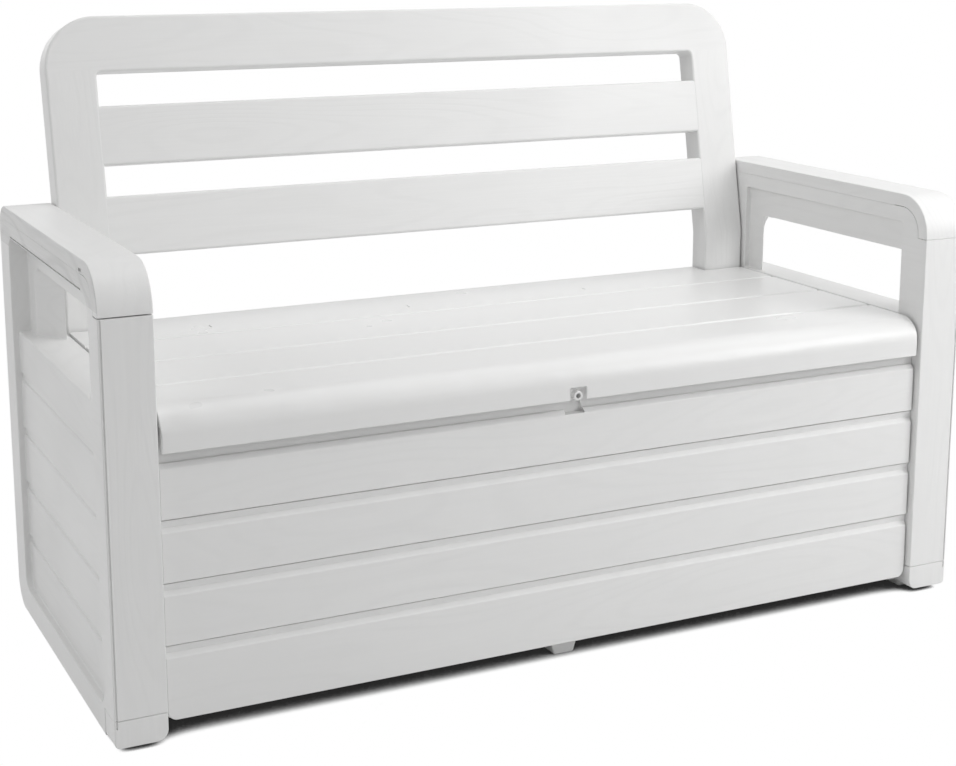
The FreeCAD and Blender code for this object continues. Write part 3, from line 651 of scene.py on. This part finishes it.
def window_flare(inner_x, web_x):
    """A tool for the part of the window that opens towards the outside, at its rear and its head."""
    slope = (WINDOW_OUTER_REAR - WINDOW_INNER_REAR) / (web_x - inner_x)
    x_span = (inner_x - OVERLAP, web_x + OVERLAP)
    rear = WINDOW_OUTER_REAR + slope * OVERLAP
    y_span = (WINDOW_FRONT, rear)
    z_span = (SILL, WINDOW_OUTER_TOP)
    flare = recess(x_span, y_span, z_span, WINDOW_ROUND, [(rear, WINDOW_OUTER_TOP)])
    back = slope * (x_span[1] - x_span[0])
    drop = WINDOW_OUTER_TOP - WINDOW_TOP
    move_edges(flare, (0, -back, -drop), x=x_span[0])
    move_edges(flare, (0, back, 0), x=x_span[0], y=WINDOW_FRONT - back)
    move_edges(flare, (0, 0, drop), x=x_span[0], z=SILL - drop)
    return flare


def side_openings(before, beyond, face):
    """One tool for the planks' recess, the deeper recess above it, the one inside, and the window."""
    y_span = (FRONT_POST, RECESS_REAR)
    inner_y = (WINDOW_FRONT, INNER_RECESS_REAR)
    plank_z = (RECESS_BOTTOM, RIM_UNDERSIDE)
    web_z = (SILL, RIM_UNDERSIDE)
    web_x = HALF_WIDTH - WEB_INSET
    inner_x = INNER_FACE + INNER_WEB_INSET
    tool = recess((face, beyond), y_span, plank_z, RECESS_ROUND, corners_of(y_span, *plank_z))
    web_corners = corners_of(y_span, RIM_UNDERSIDE)
    web = recess((web_x, face + OVERLAP), y_span, web_z, RECESS_ROUND, web_corners)
    inner_corners = corners_of(inner_y, RIM_UNDERSIDE)
    inner = recess((before, inner_x), inner_y, web_z, INNER_RECESS_ROUND, inner_corners)
    window_x = (INNER_FACE + OVERLAP, face - OVERLAP)
    window = block("window", window_x, (WINDOW_FRONT, WINDOW_INNER_REAR - APART), (SILL, WINDOW_TOP))
    weld(tool, web, window, window_flare(inner_x, web_x), inner)
    select_only(tool)
    bpy.ops.object.mode_set(mode="EDIT")
    bpy.ops.mesh.select_all(action="SELECT")
    bpy.ops.mesh.remove_doubles(threshold=CLOSE)
    bpy.ops.mesh.dissolve_limited(angle_limit=math.radians(0.5))
    bpy.ops.object.mode_set(mode="OBJECT")
    return tool


def cap_space(skirt_gap, front_gap):
    """The room of an arm cap, a band along the top of the outline."""
    middle = SIDE_DEPTH / 2
    high = ARM_TOP + 2 * REACH
    front_z = (CAP_FRONT_SEAM + front_gap, high)
    space = block("cap_space", SIDE_ROOM, (-2 * REACH, middle + REACH), front_z)
    rear_z = (CAP_REAR_SEAM + skirt_gap, high)
    weld(space, block("rear", SIDE_ROOM, (middle, SIDE_DEPTH + 2 * REACH), rear_z))
    return cut(space, rounded_slab("inside", CAP_SKIRT - skirt_gap, PAST_SIDE))


def shoe_space():
    """The room of a foot shoe, at the lower end of a front post."""
    return block("shoe_space", SIDE_ROOM, (-2 * REACH, FRONT_POST), (-2 * REACH, SHOE_TOP))


def common(piece, tool):
    """Keeps only what a piece shares with a tool."""
    apply_modifier(piece, "BOOLEAN", operation="INTERSECT", object=tool, solver="EXACT")
    remove(tool)
    return piece


def make_arm_cap(side):
    """The arm's trim, with a hairline seam that opens towards the front corner, and a slot."""
    cap = common(copy_of(side, "right_arm_cap_trim"), cap_space(HAIRLINE, FRONT_SEAM))
    corner = rounded_slab("corner", CAP_SKIRT - SEAM, PAST_SIDE)
    common(corner, block("ahead", PAST_SIDE, (-2 * REACH, CAP_SLOT), (0.5, 0.7)))
    cut(cap, corner)
    score(cap, "Y", CAP_SLOT - REACH, CAP_SLOT + REACH)
    slot_x = (HALF_WIDTH - RIM_CUT_DEPTH, HALF_WIDTH + REACH)
    slot_y = (CAP_SLOT - CAP_SLOT_HALF, CAP_SLOT + CAP_SLOT_HALF)
    cut(cap, block("slot", slot_x, slot_y, CAP_SLOT_HEIGHT))
    return cap


def make_side_body(side):
    """The side without its cap and its shoe."""
    body = cut(copy_of(side, "right_side_moulding"), cap_space(0.0, 0.0), shoe_space())
    round_edges(body, CAP_EDGE, 3, z=CAP_FRONT_SEAM)
    return body


def post_line(high):
    """A tool for the line down the outer edge of a post's front."""
    x_span = [HALF_WIDTH - inset for inset in POST_LINE_INSET]
    return block("line", x_span, (-REACH, POST_LINE_DEPTH), (POST_LINE_BOTTOM, high))


def make_sides():
    """Both ends of the bench: the right one is made first, and the left one mirrored from it."""
    side = side_moulding()
    line_x = (HALF_WIDTH - RIM_CUT_DEPTH, HALF_WIDTH + REACH)
    line_z = [RIM_UNDERSIDE + rise for rise in RIM_LINE_RISE]
    soften(side, SIDE_EDGE, fine_cuts=[block("rim_line", line_x, RIM_LINE_PLACE, line_z)])
    cap = make_arm_cap(side)
    shoe = make_shoe()
    body = cut(make_side_body(side), post_line(CAP_FRONT_SEAM - CAP_EDGE))
    remove(side)
    finishes = (
        (cap, "arm_cap", "left_arm_cap_trim", ARM_GRAIN),
        (shoe, "foot_shoe", "left_foot_boot", UPRIGHT),
        (body, "side_frame", "left_side_moulding", UPRIGHT),
    )
    for piece, node, twin_name, material in finishes:
        twin = mirror_copy(piece, twin_name, "X")
        if node == "arm_cap":
            seam_y = (-2 * REACH, CAP_SKIRT + 2 * REACH)
            seam_z = (CAP_FRONT_SEAM - REACH, CAP_FRONT_SEAM + LEFT_FRONT_SEAM)
            cut(twin, block("seam", either_side(-1, *SIDE_ROOM), seam_y, seam_z))
        for moulding, end in ((piece, "right_"), (twin, "left_")):
            hand_in(moulding, end + node, "base", "white_resin", material, SIDE_PLANKS, ARM_STREAKS)
            set_grain(moulding)


def set_grain(moulding):
    """Gives all between the posts a grain along the depth, and the arm's outer face coarse streaks."""
    for face in moulding.data.polygons:
        place = face.center
        inside = FRONT_POST < place.y - FRONT < RECESS_REAR
        if place.z > RIM_GRAIN_BOTTOM and abs(place.x) > HALF_WIDTH - 0.0008:
            face.material_index = 2
        elif inside and place.z > RECESS_BOTTOM:
            face.material_index = 1


def make_pads():
    """Pads under the four corners."""
    for node in ("left_front_pad", "left_rear_pad", "right_front_pad", "right_rear_pad"):
        x_span, y_span, z_span = spans_of(node)
        pad = block(node + "_glide", x_span, y_span, z_span)
        for x in x_span:
            for y in y_span:
                round_edges(pad, PAD_ROUND, 6, x=x, y=y)
        soften(pad, PAD_EDGE)
        hand_in(pad, node, "base", "glide", GLIDE)


# Panels

def plank_spans():
    """Bottom and top of each plank, from the top one down."""
    spans = []
    for i in range(PLANK_COUNT):
        high = PLANK_TOP - PLANK_PITCH * i
        last = i == PLANK_COUNT - 1
        spans.append((PANEL_BOTTOM if last else high - PLANK_PITCH + PLANK_CHANNEL, high))
    return spans


def planked_panel(name, top, setback):
    """A sheet with hollow planks in relief on its front. Above them it is set back."""
    across = (-PANEL_END, PANEL_END)
    plank_across = within(across, PLANK_END_GAP)
    panel = block(name, across, (SHEET_FRONT, SHEET_BACK), (PANEL_BOTTOM, PLANK_TOP - OVERLAP))
    for x in across:
        round_edges(panel, PANEL_CORNER_ROUND, 10, x=x, z=PANEL_BOTTOM)
    soften(panel, PANEL_EDGE, 2)
    upper_y = (SHEET_FRONT + setback, SHEET_BACK + setback)
    upper = block("upper", across, upper_y, (PLANK_TOP - 0.012, top))
    for y in upper_y:
        round_edges(upper, PANEL_EDGE, 2, y=y, z=top)
    weld(panel, upper)
    score(panel, "X", -0.030, 0.0, 0.030)
    for low, high in plank_spans():
        plank = block("plank", plank_across, (PLANK_FRONT, SHEET_FRONT + setback + APART), (low, high))
        last = low == PANEL_BOTTOM
        if last:
            for x in plank_across:
                round_edges(plank, PANEL_CORNER_ROUND, 10, x=x, z=low)
        round_edges(plank, PLANK_LEDGE, 1, y=PLANK_FRONT, z=high)
        soften(plank, PLANK_EDGE, 3)
        weld(panel, plank)
        if not last:
            weld(panel, channel_top(plank_across, low))
            line_y = (PLANK_FRONT + 0.0015, SHEET_FRONT + OVERLAP)
            line_z = (low - SHADOW_LINE, low + 0.0002)
            cut(panel, block("line", within(plank_across, 0.001), line_y, line_z))
        hollow_y = (PLANK_FRONT + PANEL_WALL, SHEET_BACK + 2 * REACH)
        hollow_z = (low + PANEL_WALL, high - HOLLOW_END)
        cut(panel, block("hollow", within(across, HOLLOW_END), hollow_y, hollow_z))
    return panel


def channel_top(plank_across, plank_bottom):
    """Fills the upper part of the channel under a plank, so that it slopes back to the next plank."""
    front = PLANK_FRONT + CHANNEL_TOP_DEPTH
    low = plank_bottom - PLANK_CHANNEL * 0.8
    wedge_y = (front, SHEET_FRONT + 0.003)
    wedge = block("wedge", within(plank_across, APART), wedge_y, (low, plank_bottom + OVERLAP))
    move_edges(wedge, (0, PLANK_DEPTH - CHANNEL_TOP_DEPTH + APART, 0), y=front, z=low)
    return wedge


def make_panels():
    """The front panel with its padlock scoop, and the rear panel, which is the front's plain mirror."""
    panel = planked_panel("front_panel_moulding", LID_UNDER, FRONT_SETBACK)
    sheet = SHEET_FRONT + FRONT_SETBACK
    backing_y = (sheet + 0.001, SHEET_BACK + FRONT_SETBACK + SCOOP_DEPTH)
    weld(panel, block("backing", (-BACKING_HALF, BACKING_HALF), backing_y, BACKING_HEIGHT))
    scoop = block("scoop", (-SCOOP_HALF, SCOOP_HALF), (0.0, sheet + SCOOP_DEPTH), SCOOP_HEIGHT)
    widen_edges(scoop, SCOOP_FLARE, z=SCOOP_HEIGHT[0])
    cut(panel, scoop, bar_along("hole", "Y", PADLOCK_HOLE, (0.0, 0.06), (0.0, LUG_HEIGHT)))
    hand_in(panel, "front_panel", "base", "white_resin", ALONG_BENCH)
    front_half = planked_panel("rear_panel_half", LID_TOP - REAR_PANEL_DROP, REAR_SETBACK)
    turning_plane = (0, FRONT + (SHEET_BACK + REAR_PANEL_PLACE) / 2, 0)
    rear = mirror_copy(front_half, "rear_panel_moulding", "Y", turning_plane)
    remove(front_half)
    hand_in(rear, "rear_panel", "base", "white_resin", ALONG_BENCH)


def make_floor_tray():
    """The floor of the box, hollow from below."""
    x_span, y_span, z_span = spans_of("floor_panel")
    tray = block("floor_tray", x_span, y_span, z_span)
    room_z = (0.0, z_span[1] - TRAY_WALL)
    cut(tray, block("room", within(x_span, TRAY_WALL), within(y_span, TRAY_WALL), room_z))
    soften(tray, PANEL_EDGE)
    hand_in(tray, "floor_panel", "base", "white_resin", ALONG_BENCH)


def make_centre_feet():
    """Feet under the middle of both panels, narrower at the floor."""
    for node in ("front_centre_foot", "rear_centre_foot"):
        x_span, y_span, z_span = spans_of(node)
        foot = block(node + "_stand", x_span, y_span, z_span)
        widen_edges(foot, FOOT_TAPER, z=z_span[0])
        soften(foot, FOOT_EDGE)
        hand_in(foot, node, "base", "white_resin", ALONG_BENCH)


# Seat lid

def lid_shell():
    """The hollow seat with its rounded nose and its skirt."""
    across = (-LID_END, LID_END)
    lid = block("seat_lid_moulding", across, (LID_FRONT, LID_REAR), (SKIRT_BOTTOM, LID_TOP))
    for x in across:
        round_edges(lid, LID_END_ROUND, 5, x=x, y=LID_FRONT)
    score(lid, "Y", 0.440, 0.470)
    score(lid, "X", 0.0, *LID_MARKS)
    round_edges(lid, LID_REAR_ROUND, 4, y=LID_REAR, z=LID_TOP)
    nose_place = (LID_FRONT + LID_NOSE, LID_TOP - LID_NOSE)
    nose_y = (LID_FRONT - 2 * REACH, nose_place[0])
    nose = block("nose", PAST_BENCH, nose_y, (nose_place[1], LID_TOP + 2 * REACH))
    cut(nose, bar_along("curve", "X", LID_NOSE, (-0.8, 0.8), nose_place, 96))
    cut(lid, nose)
    under = block("under", (-1.0, 1.0), (LID_FRONT + LID_WALL, 1.0), (BELOW_LID, LID_UNDER))
    room_y = (LID_FRONT + LID_WALL, LID_REAR - LID_WALL)
    room_z = (LID_UNDER - 0.03, LID_TOP - LID_WALL)
    room = block("room", within(across, LID_WALL), room_y, room_z)
    round_edges(room, LID_NOSE - LID_WALL, 12, y=room_y[0], z=room_z[1])
    return cut(lid, under, room)


def add_lid_ribs(lid):
    """Ribs under the seat: one along each groove, and the rest from front to rear."""
    groove_rib_z = (LID_UNDER + 0.0007, LID_TOP - LID_WALL + OVERLAP)
    for y in LID_GROOVES:
        rib_y = (y - LID_GROOVE_RADIUS, y + LID_GROOVE_RADIUS)
        weld(lid, block("rib", within((-LID_END, LID_END), OVERLAP), rib_y, groove_rib_z))
    rib_y = (LID_FRONT + LID_NOSE, LID_REAR - OVERLAP)
    rib_z = (LID_UNDER + 0.0004, LID_TOP - 0.0045)
    for i in range(LID_RIBS):
        x = -LID_END + LID_END * 2 * (i + 1) / (LID_RIBS + 1)
        weld(lid, block("rib", (x - RIB / 2, x + RIB / 2), rib_y, rib_z))


def add_hinge_corners(lid):
    """Rear corners with a notch round each post of the backrest, and bored bosses for the pins."""
    notch_edge = POST_INNER - NOTCH_SIDE_GAP
    notch_front = BACK_PLACE - NOTCH_FRONT_GAP
    corner_y = (notch_front - LID_WALL, LID_REAR - 0.001)
    corner_z = (LID_UNDER + 0.0002, LID_TOP - 0.003)
    for end in (-1, 1):
        corner_x = either_side(end, notch_edge - LID_WALL, LID_END - 0.001)
        corner = block("corner", corner_x, corner_y, corner_z)
        boss_x = either_side(end, LID_END - BOSS_LENGTH, LID_END - APART)
        boss = bar_along("boss", "X", PIN_BOSS, boss_x, HINGE_PLACE)
        weld(lid, corner, boss)
        notch_x = either_side(end, notch_edge, PAST_BENCH[1])
        notch = block("notch", notch_x, (notch_front, 0.7), (BELOW_LID, 0.6))
        bore_x = either_side(end, LID_END - BORE_LENGTH, 0.65)
        cut(lid, notch, bar_along("bore", "X", PIN_BORE, bore_x, HINGE_PLACE))


def add_padlock_lug(lid):
    """A pocket in the skirt, with a wall round it and a lug in its middle."""
    half = POCKET_WIDTH / 2
    pocket_back = LID_FRONT + POCKET_DEPTH
    pocket_top = SKIRT_BOTTOM + POCKET_HEIGHT
    plate_x = (-half - POCKET_WALL, half + POCKET_WALL)
    plate_y = (LID_FRONT + LID_WALL - OVERLAP, pocket_back + POCKET_WALL)
    weld(lid, block("plate", plate_x, plate_y, (SKIRT_BOTTOM + 0.0002, pocket_top + POCKET_WALL)))
    cut(lid, block("pocket", (-half, half), (-REACH, pocket_back), (BELOW_LID, pocket_top)))
    lug_y = (LID_FRONT + APART, pocket_back + OVERLAP)
    weld(lid, bar_along("lug", "Y", LUG_RADIUS, lug_y, (0.0, LUG_HEIGHT)))


def make_lid():
    """Seat with a rounded nose, a skirt, grooves between its bands, and ribs below."""
    lid = lid_shell()
    add_lid_ribs(lid)
    add_hinge_corners(lid)
    groove_centre = LID_TOP + LID_GROOVE_RADIUS - LID_GROOVE_DEPTH
    for y in LID_GROOVES:
        cut(lid, bar_along("groove", "X", LID_GROOVE_RADIUS, PAST_BENCH, (y, groove_centre)))
    add_padlock_lug(lid)
    mark_z = (LID_TOP - MARK_DEPTH, 0.5)
    marks = [block("mark", (x - MARK_HALF, x + MARK_HALF), MARK_PLACE, mark_z) for x in LID_MARKS]
    lug_bore = bar_along("lug_bore", "Y", LUG_BORE, (-2 * REACH, 0.03), (0.0, LUG_HEIGHT))
    soften(lid, LID_EDGE, fine_cuts=[lug_bore, *marks])
    wave_nose(lid)
    hand_in(lid, "seat_lid", "lid", "white_resin", SEAT_GRAIN)


def wave_nose(lid):
    """Gives the rounded nose the slight waves of a large moulding."""
    score(lid, "X", *[-LID_END + LID_END * 2 * (i + 1) / NOSE_STEPS for i in range(NOSE_STEPS - 1)])
    score(lid, "Y", *[LID_FRONT + LID_NOSE * (1.08 + 0.08 * i) for i in range(7)])
    score(lid, "Z", SKIRT_BOTTOM + WAVE_BOTTOM, SKIRT_BOTTOM + WAVE_BOTTOM + 0.005)
    group = lid.vertex_groups.new(name="nose")
    for point in lid.data.vertices:
        from_front = point.co.y - FRONT - LID_FRONT
        from_skirt = point.co.z - SKIRT_BOTTOM
        rearwards = (LID_NOSE * 1.6 - from_front) / LID_NOSE
        weight = min(1.0, rearwards, (from_skirt - WAVE_BOTTOM) / LID_NOSE)
        if weight > 0 and abs(point.co.x) < LID_END - 0.01:
            group.add([point.index], weight, "REPLACE")
    waves = bpy.data.textures.new("nose_waves", "CLOUDS")
    waves.noise_scale = WAVE_LENGTH
    waves.noise_depth = 2
    apply_modifier(lid, "DISPLACE", texture=waves, strength=NOSE_WAVE, mid_level=0.5, vertex_group=group.name)
    lid.vertex_groups.clear()


def make_lid_bars():
    """Square tubes that stiffen the seat from below."""
    for node in ("front_lid_bar", "rear_lid_bar"):
        x_span, y_span, z_span = spans_of(node)
        tube = block(node + "_tube", x_span, y_span, z_span)
        cut(tube, block("bore", PAST_BENCH, within(y_span, TUBE_WALL), within(z_span, TUBE_WALL)))
        soften(tube, TUBE_EDGE, 2)
        hand_in(tube, node, "lid", "steel", STEEL)


# Backrest

def lean(piece):
    """Leans a piece of the backrest about the kink of its posts."""
    select_only(piece)
    bpy.ops.object.mode_set(mode="EDIT")
    bpy.ops.mesh.select_all(action="SELECT")
    bpy.ops.transform.rotate(
        value=BACK_LEAN, orient_axis="X", orient_type="GLOBAL", center_override=(0, deep(BACK_PLACE), KINK)
    )
    bpy.ops.object.mode_set(mode="OBJECT")


def make_backrest():
    """Two posts and the top rail as one arch, leant back, with its feet upright."""
    y_span = (BACK_PLACE, BACK_PLACE + BACK_DEPTH)
    top = KINK + BACK_LENGTH
    arch = block("backrest_moulding", (-POST_OUTER, POST_OUTER), y_span, (KINK, top))
    for x in (-POST_OUTER, POST_OUTER):
        round_edges(arch, RAIL_ROUND, 16, x=x, z=top)
    under = top - RAIL_HEIGHT
    opening = block("opening", (-POST_INNER, POST_INNER), (0.4, 0.7), (KINK - 0.1, under))
    for x in (-POST_INNER, POST_INNER):
        round_edges(opening, OPENING_ROUND, 6, x=x, z=under)
    cut(arch, opening)
    move_edges(arch, (0, 0, BACK_DEPTH * math.tan(BACK_LEAN / 2)), y=y_span[1], z=KINK)
    lean(arch)
    rail_bottom = KINK + (BACK_LENGTH - RAIL_HEIGHT) * math.cos(BACK_LEAN)
    score(arch, "Z", rail_bottom)
    select_only(arch)
    bpy.ops.object.mode_set(mode="EDIT")
    bpy.ops.mesh.select_mode(type="FACE")
    bpy.ops.mesh.select_all(action="DESELECT")
    bpy.ops.object.mode_set(mode="OBJECT")
    for face in arch.data.polygons:
        face.select = face.normal.z < -0.9 and face.center.z < KINK + 0.01
    bpy.ops.object.mode_set(mode="EDIT")
    bpy.ops.mesh.extrude_region_move(TRANSFORM_OT_translate={"value": (0, 0, POST_FOOT - KINK)})
    bpy.ops.transform.resize(value=(1, 1, 0))
    bpy.ops.object.mode_set(mode="OBJECT")
    soften(arch, BACK_EDGE, 4)
    hand_in(arch, "backrest_frame", "base", "white_resin", ALONG_BENCH, UPRIGHT)
    for face in arch.data.polygons:
        if face.center.z < rail_bottom:
            face.material_index = 1


def make_slats():
    """Two rounded boards, let into the posts of the backrest."""
    end = POST_INNER + SLAT_TENON
    slat_y = (BACK_PLACE + APART, BACK_PLACE + SLAT_DEPTH)
    for name, slat_top in zip(("upper", "lower"), SLAT_TOPS):
        slat_z = (KINK + slat_top - SLAT_HEIGHT, KINK + slat_top)
        slat = block(name + "_slat_board", (-end, end), slat_y, slat_z)
        for y, z in corners_of(slat_y, *slat_z):
            round_edges(slat, SLAT_EDGE, 4, y=y, z=z)
        lean(slat)
        hand_in(slat, name + "_back_slat", "base", "white_resin", ALONG_BENCH)


ALONG_BENCH = moulded_resin("resin_grain_along", "X", 0.22, 260.0)
SEAT_GRAIN = moulded_resin("resin_seat", "X", 0.05, 260.0, roughness_span=SEAT_ROUGHNESS, figured=False)
UPRIGHT = moulded_resin("resin_grain_upright", "Z", 0.22, 260.0)
SIDE_PLANKS = moulded_resin("resin_side_planks", "Y", 0.22, 220.0)
ARM_GRAIN = moulded_resin("resin_arm", "Y", 0.15, 260.0)
ARM_STREAKS = moulded_resin("resin_arm_streaks", "Y", 0.9, 190.0, deep_tone=RESIN_STREAK)
GLIDE = glide_plastic()
STEEL = zinc_steel()

make_sides()
make_pads()
make_panels()
make_floor_tray()
make_centre_feet()
make_lid()
make_lid_bars()
make_backrest()
make_slats()
for name in ("left_hinge_pin", "right_hinge_pin", "backrest_bolts"):
    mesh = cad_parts[name].data
    mesh.materials.clear()
    mesh.materials.append(STEEL)


# Floor, light and camera

def seen_or_lit(tree, seen, lit):
    """One shader where the background is seen, straight or mirrored, and another where it lights."""
    rays = add_node(tree, "ShaderNodeLightPath").outputs
    bent = {0: rays["Is Glossy Ray"], 1: rays["Is Transmission Ray"]}
    mirrored = add_node(tree, "ShaderNodeMath", bent, operation="MAXIMUM").outputs[0]
    either = {0: rays["Is Camera Ray"], 1: mirrored}
    share = add_node(tree, "ShaderNodeMath", either, operation="MAXIMUM").outputs[0]
    return add_node(tree, "ShaderNodeMixShader", {0: share, 1: lit, 2: seen}).outputs[0]


def make_floor():
    """White floor with a painted shadow: where it is seen, ambient occlusion darkens it to near black where
    the bench stands over it.
    """
    bpy.ops.object.select_all(action="DESELECT")
    bpy.ops.mesh.primitive_plane_add(size=60.0, location=(0, 0, 0))
    floor = bpy.context.active_object
    floor.name = "floor"
    material = bpy.data.materials.new("floor_white_painted_shadow")
    tree, output = nodes_of(material)
    # Painted shadow: the floor's seen colour is white, darkened by ambient occlusion under and just in front
    # of the bench.
    hidden = add_node(tree, "ShaderNodeAmbientOcclusion", {"Distance": 0.60}, samples=32)
    shade = add_node(tree, "ShaderNodeMapRange", {0: hidden.outputs["AO"], 1: 0.12, 2: 0.29, 3: 0.02, 4: 1.0})
    white = add_node(tree, "ShaderNodeEmission", {"Color": shade.outputs[0]})
    matte = add_node(tree, "ShaderNodeBsdfDiffuse", {"Color": (0.8, 0.8, 0.8, 1)})
    tree.links.new(seen_or_lit(tree, white.outputs[0], matte.outputs[0]), output.inputs["Surface"])
    floor.data.materials.append(material)


def make_world():
    """A background that is seen as white and lights the bench more softly."""
    world = bpy.data.worlds.new("studio")
    bpy.context.scene.world = world
    world.use_nodes = True
    tree = world.node_tree
    tree.nodes.clear()
    output = tree.nodes.new("ShaderNodeOutputWorld")
    white = add_node(tree, "ShaderNodeBackground", {"Color": (1, 1, 1, 1), "Strength": 1.0})
    soft = add_node(tree, "ShaderNodeBackground", {"Color": (1, 1, 1, 1), "Strength": WORLD_STRENGTH})
    tree.links.new(seen_or_lit(tree, white.outputs[0], soft.outputs[0]), output.inputs["Surface"])


def make_light(name, place, target, size, watts):
    """A square lamp that faces its target."""
    light = bpy.data.lights.new(name, "AREA")
    light.shape = "SQUARE"
    light.size = size
    light.energy = watts
    lamp = bpy.data.objects.new(name, light)
    lamp.location = place
    lamp.rotation_euler = (Vector(target) - Vector(place)).to_track_quat("-Z", "Y").to_euler()
    bpy.context.scene.collection.objects.link(lamp)


def make_camera():
    """Camera with a raised lens, at the photograph's angle."""
    camera = bpy.data.cameras.new("camera")
    camera.sensor_width = SENSOR
    camera.lens = FOCAL_PIXELS * SENSOR / PHOTO_WIDTH
    camera.shift_y = LENS_SHIFT
    holder = bpy.data.objects.new("camera", camera)
    turn = Matrix.Rotation(math.radians(-CAMERA_YAW), 4, "Z")
    tilt = Matrix.Rotation(math.radians(90 - CAMERA_PITCH), 4, "X")
    holder.matrix_world = Matrix.Translation(CAMERA_PLACE) @ turn @ tilt
    bpy.context.scene.collection.objects.link(holder)
    bpy.context.scene.camera = holder


make_floor()
make_world()
for name, (place, target, size, watts) in LAMPS.items():
    make_light(name, place, target, size, watts)
make_camera()
bpy.context.scene.view_settings.view_transform = "Standard"
